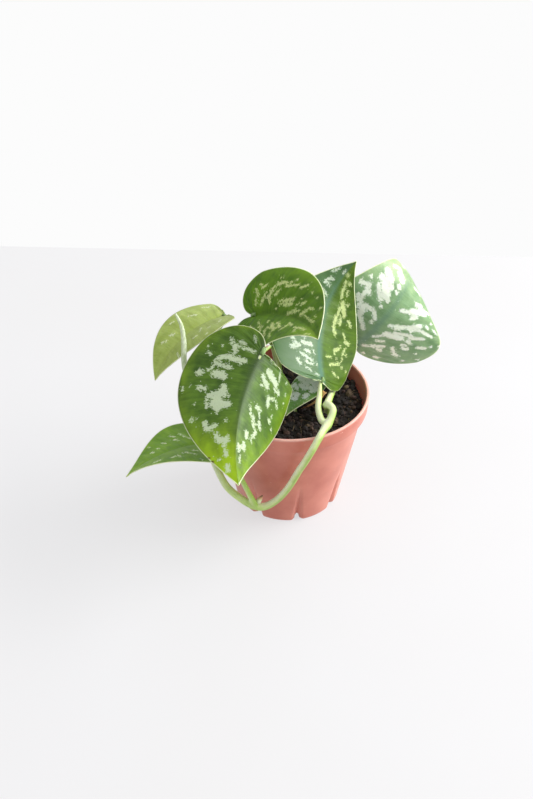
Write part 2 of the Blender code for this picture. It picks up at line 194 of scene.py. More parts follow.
# %% Light
WINDOW_AT, BRIGHT_SIDE = (1.04, 0.16, 0.66), (0.84, 0.10, 0.54)      # metres, a direction
window = bpy.data.objects.new("window", bpy.data.lights.new("window", "AREA"))
bpy.context.scene.collection.objects.link(window)
window.location = WINDOW_AT
to_plant = Vector((0, 0, 0.08)) - window.location
window.rotation_euler = to_plant.to_track_quat("-Z", "Y").to_euler()
window.data.energy, window.data.size, window.data.color = 21.0, 0.9, (1.0, 0.995, 0.985)
world = bpy.context.scene.world or bpy.data.worlds.new("white room")
bpy.context.scene.world = world
world.use_nodes = True
tree = world.node_tree
tree.nodes.clear()
way = add(tree, "ShaderNodeTexCoord").outputs["Generated"]
facing = add(tree, "ShaderNodeVectorMath", {0: way, 1: BRIGHT_SIDE},
             operation="DOT_PRODUCT").outputs["Value"]
glow = add(tree, "ShaderNodeMapRange", {"Value": facing, "From Min": -0.4, "From Max": 0.95,
                                        "To Min": 0.46, "To Max": 1.12}).outputs["Result"]
light = add(tree, "ShaderNodeBackground", {"Color": colour("#ffffff"), "Strength": glow})
seen = add(tree, "ShaderNodeBackground", {"Color": colour("#fcfcfc"), "Strength": 1.0})
eye = add(tree, "ShaderNodeLightPath").outputs["Is Camera Ray"]
both = add(tree, "ShaderNodeMixShader", {0: eye, 1: light.outputs[0], 2: seen.outputs[0]})
add(tree, "ShaderNodeOutputWorld", {"Surface": both.outputs[0]})
bpy.context.scene.view_settings.view_transform = "Standard"
print("window", round(window.location.length, 2), "m away")


# %% [markdown]
# Every piece is worked out in millimetres and scaled once when it is finished. Its object
# stays at the origin, so its place is in its mesh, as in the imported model.

# %% Helper for pieces
def finish(name, bm, materials, stands_for, smooth=True):
    """Scale a bmesh to metres, make it an object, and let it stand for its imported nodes."""
    bmesh.ops.scale(bm, vec=(MM, MM, MM), verts=bm.verts)
    made = bpy.data.meshes.new(name)
    bm.to_mesh(made)
    bm.free()
    for material in materials:
        made.materials.append(material)
    ob = bpy.data.objects.new(name, made)
    bpy.context.scene.collection.objects.link(ob)
    if smooth:
        made.shade_smooth()
    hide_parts(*stands_for)
    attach(ob, "root")
    print(name, len(made.polygons), "faces")
    return ob


def baked(ob):
    """The object's mesh with its modifiers applied, as a bmesh."""
    bpy.context.view_layer.update()
    done = ob.evaluated_get(bpy.context.evaluated_depsgraph_get())
    out = bmesh.new()
    out.from_mesh(bpy.data.meshes.new_from_object(done))
    return out


def scratch(bm):
    """A short-lived object for a modifier to work on."""
    mesh = bpy.data.meshes.new("scratch")
    bm.to_mesh(mesh)
    bm.free()
    ob = bpy.data.objects.new("scratch", mesh)
    bpy.context.scene.collection.objects.link(ob)
    return ob


# %% [markdown]
# The pot is thin injection-moulded polypropylene. Its wall is a turned profile: a rolled lip,
# a stiff collar that ends in a small shoulder, and a straight taper to the foot. Spinning the
# profile is quicker and truer than stacking cylinders. Eight creases are pressed into the
# foot so that water can leave, and each is pushed in by moving the turned points inwards.

# %% Pot shape
RIM_R, POT_H, FOOT_R = 45.0, 72.0, 30.0
COLLAR_H, SHOULDER, WALL, LIP, FLOOR = 9.5, 1.3, 1.1, 1.7, 2.0
CREASES, CREASE_TOP, CREASE_DEPTH, CREASE_WIDTH = 8, 30.0, 3.8, 7.0
CREASE_START = math.radians(-79.6)


def wall_r(z):
    """Outer radius of the tapered wall at a height."""
    return FOOT_R + (RIM_R - 0.6 - SHOULDER * 1.6 - FOOT_R) * z / (POT_H - COLLAR_H)


def crease_push(x, y, z):
    """How far a drainage crease pushes the wall in at this place."""
    if z >= CREASE_TOP:
        return 0.0
    step = 2 * math.pi / CREASES
    angle = (math.atan2(y, x) - CREASE_START + step / 2) % step - step / 2
    down = 1 - z / CREASE_TOP
    half = 0.5 * CREASE_WIDTH * (0.35 + 0.65 * down)
    across = abs(angle) * math.hypot(x, y) / half
    return CREASE_DEPTH * down ** 1.3 * max(0.0, 1 - across) ** 1.2


low = POT_H - COLLAR_H
profile = [(RIM_R - 0.85, POT_H), (RIM_R - 0.35, POT_H - 0.1), (RIM_R - 0.08, POT_H - 0.35),
           (RIM_R, POT_H - 0.8), (RIM_R - 0.05, POT_H - 2.0), (RIM_R - 0.3, POT_H - 5.0),
           (RIM_R - 0.55, low + 0.9), (RIM_R - 0.7, low + 0.4), (RIM_R - 1.2, low + 0.1),
           (wall_r(low) + 0.25, low - 0.1), (wall_r(low) + 0.05, low - 0.5)]
profile += [(wall_r(z), z) for z in (58, 50, 42, 36, 30, 27, 24, 21, 18, 15, 12, 9, 6, 4, 2, 0.7)]
profile += [(wall_r(0) - 0.15, 0.2), (wall_r(0) - 0.7, 0.0), (27, 0), (24, 0), (20, 0), (8, 0),
            (0, 0), (0, FLOOR), (8, FLOOR), (20, FLOOR), (24, FLOOR)]
profile += [(wall_r(z) - WALL, z) for z in (FLOOR, 5, 10, 15, 20, 25, 30, 45, 58)]
profile += [(wall_r(low) - WALL, low - 1.5), (RIM_R - LIP - 0.6, low + 1.0),
            (RIM_R - LIP, POT_H - 1.2), (RIM_R - LIP + 0.12, POT_H - 0.4),
            (RIM_R - LIP + 0.4, POT_H - 0.05)]
bm = bmesh.new()
verts = [bm.verts.new((r, 0, z)) for r, z in profile]
edges = [bm.edges.new((a, b)) for a, b in zip(verts, verts[1:] + verts[:1])]
bmesh.ops.rotate(bm, verts=verts, cent=(0, 0, 0), matrix=Matrix.Rotation(CREASE_START, 3, "Z"))
bmesh.ops.spin(bm, geom=verts + edges, cent=(0, 0, 0), axis=(0, 0, 1), angle=2 * math.pi,
               steps=CREASES * 44, use_merge=True)
bmesh.ops.remove_doubles(bm, verts=bm.verts, dist=0.001)
bmesh.ops.dissolve_degenerate(bm, edges=bm.edges, dist=0.001)
bmesh.ops.recalc_face_normals(bm, faces=bm.faces)
for v in bm.verts:
    r = math.hypot(v.co.x, v.co.y)
    if r > 21:
        push = crease_push(v.co.x, v.co.y, v.co.z)
        v.co.xy = v.co.xy * (r - push) / r
pot_shape = scratch(bm)
print("pot profile has", len(profile), "points")

# %% [markdown]
# At the foot of each crease the mould leaves a drain hole. One block per hole is cut away with
# a Boolean, because a real opening shows its wall thickness and the dark inside.

# %% Drain holes
bm = bmesh.new()
for k in range(CREASES):
    cube = bmesh.ops.create_cube(bm, size=1.0)["verts"]
    bmesh.ops.scale(bm, vec=(6.0, 3.0, 6.0), verts=cube)
    bmesh.ops.translate(bm, vec=(FOOT_R - CREASE_DEPTH - 0.4, 0, 0.5), verts=cube)
    turn = Matrix.Rotation(CREASE_START + 2 * math.pi * k / CREASES, 3, "Z")
    bmesh.ops.rotate(bm, verts=cube, cent=(0, 0, 0), matrix=turn)
cutters = scratch(bm)
cut = pot_shape.modifiers.new("drains", "BOOLEAN")
cut.operation, cut.solver, cut.object = "DIFFERENCE", "EXACT", cutters
bm = baked(pot_shape)
for ob in (pot_shape, cutters):
    bpy.data.objects.remove(ob, do_unlink=True)
print("pot wall with its drain holes:", len(bm.faces), "faces")

# %% [markdown]
# The plastic is terracotta coloured all through, slightly clouded from the mould, with a skin
# like fine orange peel, a little dust, and pale chips near the rim. The top of the lip is also
# painted paler as its highlight. Noise at three scales gives these, and the height on the pot
# says where the lip is.

# %% Pot material
plastic, tree, shader = new_material("moulded polypropylene", IOR=1.49, Sheen_Weight=0.16,
                                     Sheen_Roughness=0.45)
let_light_in(shader, 0.12, (1.0, 0.35, 0.25), 0.002)
place = add(tree, "ShaderNodeTexCoord").outputs["Object"]
flow = add(tree, "ShaderNodeTexNoise", {"Vector": place, "Scale": 55.0, "Detail": 3.0})
tone = shades(tree, flow.outputs["Fac"], (0.3, "#b7614e"), (0.7, "#cd7c68"))
dust = add(tree, "ShaderNodeTexNoise", {"Vector": place, "Scale": 900.0, "Detail": 2.0})
speck = add(tree, "ShaderNodeMapRange", {"Value": dust.outputs["Fac"], "From Min": 0.66,
                                         "From Max": 0.8, "To Max": 0.25})
skin = add(tree, "ShaderNodeMix", {0: speck.outputs[0], 6: tone,
                                   7: colour("#dba798")}, data_type="RGBA")
matt = add(tree, "ShaderNodeMapRange", {"Value": flow.outputs["Fac"], "To Min": 0.38,
                                        "To Max": 0.5})
tree.links.new(matt.outputs[0], shader.inputs["Roughness"])
height = add(tree, "ShaderNodeSeparateXYZ", {"Vector": place}).outputs["Z"]
# painted highlight: a paler band round the top of the lip, placed by height
lip_highlight_band = add(tree, "ShaderNodeMapRange", {"Value": height, "From Min": 0.0706,
                                            "From Max": 0.0718, "To Max": 0.55})
chip_map = add(tree, "ShaderNodeMapping", {"Vector": place, "Scale": (260, 260, 700)})
chips = add(tree, "ShaderNodeTexNoise", {"Vector": chip_map.outputs[0], "Scale": 1.0,
                                         "Detail": 4.0})
near_rim = add(tree, "ShaderNodeMapRange", {"Value": height, "From Min": 0.066,
                                            "From Max": 0.072, "To Max": 0.12})
chip_sum = add(tree, "ShaderNodeMath", {0: chips.outputs["Fac"], 1: near_rim.outputs[0]},
               operation="ADD")
chipped = add(tree, "ShaderNodeMapRange", {"Value": chip_sum.outputs[0], "From Min": 0.74,
                                           "From Max": 0.78, "To Max": 0.8})
# the pale colour is painted highlight in the lip band and real wear in the chips
paler = add(tree, "ShaderNodeMath", {0: lip_highlight_band.outputs[0], 1: chipped.outputs[0]},
            operation="MAXIMUM")
skin = add(tree, "ShaderNodeMix", {0: paler.outputs[0], 6: skin.outputs[2],
                                   7: colour("#efc9bd")}, data_type="RGBA")
tree.links.new(skin.outputs[2], shader.inputs["Base Color"])
orange_peel = add(tree, "ShaderNodeBump", {"Height": dust.outputs["Fac"], "Strength": 0.06,
                                           "Distance": 0.0002})
tree.links.new(orange_peel.outputs[0], shader.inputs["Normal"])
pot = finish("pot_shell", bm, [plastic], ("pot",))
pot.data.set_sharp_from_angle(angle=math.radians(40))

# %% [markdown]
# The soil is a peat mix: near-black crumbs from half a millimetre to five, with pale fibres
# and a few grey and olive bits. A turned disc gives the body of it, and noise lifts its top.

# %% Soil
SOIL_Z, SOIL_CLEAR = 65.5, 0.35
side = WALL + SOIL_CLEAR


def soil_top(x, y):
    """Height of the soil at a place: humps of about a centimetre with crumbs on them."""
    p = Vector((x, y, 0))
    edge = max(0.0, math.hypot(x, y) - 36) * 0.35
    return (SOIL_Z + 1.1 * noise.noise(p * 0.11) + 0.75 * noise.noise(p * 0.33)
            + 0.45 * noise.noise(p * 0.9) - edge)


bm = bmesh.new()
tone_layer = bm.verts.layers.float.new("tone")
rings = [(wall_r(3) - side - 4, 2.6), (wall_r(30) - side - 1.0, 31),
         (wall_r(58) - side - 0.5, 58)]
rings += [(r, SOIL_Z) for r in [wall_r(65) - side - 0.4] + list(np.arange(40, 0.9, -0.8))]
verts = [bm.verts.new((r, 0, z)) for r, z in rings]
edges = [bm.edges.new(pair) for pair in zip(verts, verts[1:])]
bmesh.ops.spin(bm, geom=verts + edges, cent=(0, 0, 0), axis=(0, 0, 1), angle=2 * math.pi,
               steps=180, use_merge=True)
bmesh.ops.remove_doubles(bm, verts=bm.verts, dist=0.001)
bmesh.ops.holes_fill(bm, edges=[e for e in bm.edges if e.is_boundary], sides=0)
bmesh.ops.recalc_face_normals(bm, faces=bm.faces)
for v in bm.verts:
    if v.co.z > SOIL_Z - 0.1:
        v.co.z = soil_top(v.co.x, v.co.y)
    v[tone_layer] = 0.12 + 0.1 * noise.noise(v.co * 0.5)
print("soil body:", len(bm.faces), "faces")


# %% [markdown]
# Loose crumbs, root fibres and bits of bark lie on the peat. Two thousand crumbs are low
# icospheres, so the piece stays light, and each gets a shade that its material reads. Bmesh
# operators slow down as a mesh grows, so the crumbs are made sixty at a time and then joined.

# %% Crumbs on the soil
BATCH, CRUMBS, FIBRES = 60, 2000, 110


def lay(bm, count, make_one):
    """Add many small shapes in batches, each shape with its shade."""
    for start in range(0, count, BATCH):
        few = bmesh.new()
        layer = few.verts.layers.float.new("tone")
        for k in range(start, min(start + BATCH, count)):
            shape, shade = make_one(few, k)
            for v in shape["verts"]:
                v[layer] = shade
        mesh = bpy.data.meshes.new("few")
        few.to_mesh(mesh)
        few.free()
        bm.from_mesh(mesh)
        bpy.data.meshes.remove(mesh)


rng = np.random.default_rng(7)


def place_on_soil(reach, up, turn, size):
    """A matrix that puts a unit shape of this size somewhere on the soil."""
    r, angle = reach * math.sqrt(rng.random()), rng.random() * 2 * math.pi
    x, y = r * math.cos(angle), r * math.sin(angle)
    return Matrix.Translation((x, y, soil_top(x, y) + up)) @ turn @ Matrix.Diagonal((*size, 1))


def crumb(bm, k):
    """A rounded crumb of 0.5 to 5 mm; small ones are the most common."""
    size = 0.4 + 2.1 * rng.random() ** 3
    turn = Matrix.Rotation(rng.random() * 6, 4, Vector(rng.random(3) + 0.01))
    where = place_on_soil(41.2, 0.25 * size, turn, size * (0.55 + 0.6 * rng.random(3)))
    made = bmesh.ops.create_icosphere(bm, subdivisions=1, radius=1.0, matrix=where)
    return made, 0.75 * rng.random() ** 2


def fibre(bm, k):
    """A pale root fibre that lies nearly flat."""
    turn = (Matrix.Rotation(rng.random() * math.pi, 4, "Z")
            @ Matrix.Rotation(1.45 + 0.2 * rng.random(), 4, "X"))
    where = place_on_soil(39, 0.7, turn, (1, 1, 2.0 + 5.0 * rng.random()))
    thick = 0.10 + 0.16 * rng.random()
    made = bmesh.ops.create_cone(bm, cap_ends=True, segments=4, radius1=thick,
                                 radius2=thick * 0.5, depth=1.0, matrix=where)
    return made, 0.5 + 0.6 * rng.random()


# bits of bark and grit that stand out: x, y, radius and shade
BITS = ((24.5, 3.5, 2.6, 0.62), (18, 22, 1.8, 0.8), (30, -14, 1.5, 0.55), (12, -24, 1.7, 0.4),
        (-6, -28, 1.9, 0.5), (33, 10, 1.6, 0.9))


def bit(bm, k):
    """A lumpy bit, sunk a little into the soil."""
    x, y, size, shade = BITS[k]
    made = bmesh.ops.create_icosphere(bm, subdivisions=2, radius=size)
    for v in made["verts"]:
        v.co *= 1 + 0.3 * noise.noise(v.co * 0.7 + Vector((x, y, 0)))
        v.co = Vector((v.co.x + x, v.co.y + y, 0.7 * v.co.z + soil_top(x, y) + 0.3 * size))
    return made, shade


lay(bm, CRUMBS, crumb)
lay(bm, FIBRES, fibre)
lay(bm, len(BITS), bit)
print("soil crumbs placed:", len(bm.verts), "points")

# %% [markdown]
# Moist peat is almost black in its hollows, brown where it dries, and olive where a bit of
# bark shows. The shade kept on each crumb picks a place on one ramp, and fine noise breaks it.

# %% Soil material
peat, tree, shader = new_material("moist peat mix", Roughness=0.85)
place = add(tree, "ShaderNodeTexCoord").outputs["Object"]
kind = add(tree, "ShaderNodeAttribute", attribute_name="tone").outputs["Fac"]
grit = add(tree, "ShaderNodeTexNoise", {"Vector": place, "Scale": 700.0, "Detail": 4.0})
mixed = add(tree, "ShaderNodeMath", {0: grit.outputs["Fac"], 1: 0.35, 2: -0.17},
            operation="MULTIPLY_ADD")
summed = add(tree, "ShaderNodeMath", {0: kind, 1: mixed.outputs[0]}, operation="ADD")
tone = shades(tree, summed.outputs[0], (0.0, "#15100d"), (1.0, "#7d6a4c"),
              ((0.35, "#281c18"), (0.6, "#463129"), (0.85, "#554a2e")))
tree.links.new(tone, shader.inputs["Base Color"])
rough = add(tree, "ShaderNodeBump", {"Height": grit.outputs["Fac"], "Strength": 0.7,
                                     "Distance": 0.0006})
tree.links.new(rough.outputs[0], shader.inputs["Normal"])
finish("soil_fill", bm, [peat], ("soil",), smooth=False)

# %% [markdown]
# A leaf of this plant is a heart with a drawn-out tip. Its side veins leave the midrib in
# long arcs, and near the petiole they fan out into the two lobes. A grid whose rows run along
# those veins bends the way the real blade does, and lets every marking follow them. Each
# blade below has its place, its heading, pitch and roll, its length, and how it folds, curls
# and bends on the way to the tip.

# %% Leaf shapes
FAN = 0.30                           # share of the margin whose veins start at the petiole
OUTLINE = (                          # half outline, along and across, in shares of the length
    (-0.015, 0.004), (-0.085, 0.014), (-0.155, 0.075), (-0.185, 0.175), (-0.16, 0.29),
    (-0.07, 0.395), (0.06, 0.462), (0.21, 0.485), (0.37, 0.455), (0.54, 0.365),
    (0.70, 0.245), (0.84, 0.125), (0.94, 0.045), (1.0, 0.0))
LEAVES = {
    "leaf_a": dict(at=(-14.5, -27.4, 115.5), heading=-118, pitch=-23, roll=-28, length=79,
                   wide=(0.90, 0.99), bend=21, veer=30, twist=0, fold=(-31, -26),
                   curl=(-19, -10), lobe=(0.10, 0.89)),
    "leaf_b": dict(at=(-18.4, 12.2, 113.5), heading=-29, pitch=25, roll=18, length=61.5,
                   wide=(0.98, 0.93), bend=-3, veer=-54, twist=-20, fold=(35, 8),
                   curl=(-33, -34), lobe=(0.84, 0.84)),
    "leaf_c": dict(at=(18.0, -12.3, 88.3), heading=99, pitch=35, roll=35, length=72.5,
                   wide=(0.90, 0.96), bend=38, veer=-46, twist=-47, fold=(12, -21),
                   curl=(-32, 0), lobe=(0.14, 0.36), late=1.4, blunt=(0.10, 0.13)),
    "leaf_d": dict(at=(40.6, 39.5, 74.0), heading=-36, pitch=54, roll=113, length=79,
                   wide=(0.94, 1.24), bend=-185, veer=-10, twist=18, fold=(4, -16),
                   curl=(-6, -8), lobe=(0.55, 0.55), late=2.0),
    "leaf_e": dict(at=(-35.9, 20.9, 107.5), heading=202, pitch=-2, roll=22, length=55,
                   wide=(0.85, 0.97), bend=-57, veer=13, twist=-23, fold=(9, 15),
                   curl=(-10, -17), lobe=(0.15, 0.15)),
    "leaf_f": dict(at=(-41.3, -35.6, 62.6), heading=213, pitch=26, roll=6, length=54.5,
                   wide=(0.94, 0.95), bend=-46, veer=-7, twist=24, fold=(7, 1),
                   curl=(-18, 3), lobe=(0.90, 0.90)),
    "leaf_g": dict(at=(13.2, 1.6, 78.6), heading=-124, pitch=-10, roll=4, length=29,
                   wide=(0.76, 0.60), bend=-14, veer=0, twist=11, fold=(6, 8),
                   curl=(-22, -12), lobe=(0.4, 0.4)),
}
print(len(LEAVES), "blades")


# %% [markdown]
# A smooth run through a few points serves for the outline of the blades and for every stem.
# The points are spread evenly along it, so the mesh has no crowded places.

# %% Smooth runs
def spline(points, count):
    """A smooth run through the points, with as many points evenly along it."""
    pts = [Vector(p) for p in points]
    pts = [2 * pts[0] - pts[1]] + pts + [2 * pts[-1] - pts[-2]]
    spans = len(pts) - 3
    dense = []
    for k in range(spans * 12 + 1):
        i = min(k // 12, spans - 1)
        t = k / 12 - i
        a, b, c, d = pts[i:i + 4]
        dense.append(0.5 * (2 * b + (c - a) * t + (2 * a - 5 * b + 4 * c - d) * t ** 2
                            + (3 * b - a - 3 * c + d) * t ** 3))
    lengths = [0.0]
    for p, q in zip(dense, dense[1:]):
        lengths.append(lengths[-1] + (Vector(q[:3]) - Vector(p[:3])).length)
    out, j = [], 0
    for k in range(count):
        want = lengths[-1] * k / (count - 1)
        while j < len(dense) - 2 and lengths[j + 1] < want:
            j += 1
        f = (want - lengths[j]) / max(lengths[j + 1] - lengths[j], 1e-9)
        out.append(dense[j].lerp(dense[j + 1], min(max(f, 0.0), 1.0)))
    return out


print("outline run:", len(spline([(x, y, 0) for x, y in OUTLINE], 40)), "points")


# %% [markdown]
# The midrib is walked from the petiole to the tip in small steps, and turned a little at each.
# A flat place on the blade is then set off from it to the left or right, folded up and curled.
# A small lift off the surface makes the sunken midrib and the quilting between the veins.

# %% Bending a flat blade
def midrib(leaf, steps=40):
    """Stations along the midrib: place, forward, left and up."""
    heading, pitch, roll = (math.radians(leaf[k]) for k in ("heading", "pitch", "roll"))
    fwd = Vector((math.cos(heading) * math.cos(pitch), math.sin(heading) * math.cos(pitch),
                  math.sin(pitch)))
    left = Vector((-math.sin(heading), math.cos(heading), 0))
    left.rotate(Matrix.Rotation(roll, 3, fwd))
    at, late = Vector(leaf["at"]), leaf.get("late", 1.0)
    rows = [(at.copy(), fwd.copy(), left.copy(), fwd.cross(left))]
    for k in range(steps):
        share = late * ((k + 0.5) / steps) ** (late - 1) / steps
        up = fwd.cross(left)
        turn = (Matrix.Rotation(-math.radians(leaf["bend"]) * share, 3, left)
                @ Matrix.Rotation(math.radians(leaf["veer"]) * share, 3, up)
                @ Matrix.Rotation(math.radians(leaf["twist"]) * share, 3, fwd))
        old = fwd.copy()
        fwd, left = turn @ fwd, turn @ left
        at = at + leaf["length"] / steps * (old + fwd).normalized()
        rows.append((at.copy(), fwd.copy(), left.copy(), fwd.cross(left)))
    return rows


def on_blade(leaf, rows, x, y, lift=0.0):
    """Bend a flat place (x along the midrib, y to the left, mm) into the blade's form."""
    steps = len(rows) - 1
    s = min(max(x / leaf["length"], 0), 1) * steps
    i = min(int(s), steps - 1)
    at, fwd, left, up = (a.lerp(b, s - i) for a, b in zip(rows[i], rows[i + 1]))
    at = at + fwd * min(x, 0)
    side = 0 if y >= 0 else 1
    fold = math.radians(leaf["fold"][side])
    curl = math.radians(leaf["curl"][side] or 0.01) / (0.48 * leaf["length"])
    lean = fold + curl * abs(y)
    out = (math.sin(lean) - math.sin(fold)) / curl - lift * math.sin(lean)
    rise = (math.cos(fold) - math.cos(lean)) / curl + lift * math.cos(lean)
    return at + left * (out if side == 0 else -out) + up * rise


def flat_place(leaf, margin, a, b):
    """Flat place of a grid corner: a along the margin, b from midrib to margin."""
    side = 0 if b >= 0 else 1
    mx, my = margin[round(a * (len(margin) - 1))][:2]
    mx *= leaf["lobe"][side] if mx < 0 else 1.0
    mx += leaf.get("blunt", (0, 0))[side] * (my / 0.485) ** 3 * max(0.0, 1 - mx / 0.6)
    my *= leaf["wide"][side]
    start = 0.0 if a <= FAN else ((a - FAN) / (1 - FAN)) ** 1.15
    t = abs(b)
    bow = 0.5 * (start + mx) - 0.12 * my
    x = (1 - t) ** 2 * start + 2 * t * (1 - t) * max(bow, min(start, mx)) + t * t * mx
    return x * leaf["length"], math.copysign(my * t * leaf["length"], b)


print("leaf_a is", LEAVES["leaf_a"]["length"], "mm along its midrib")
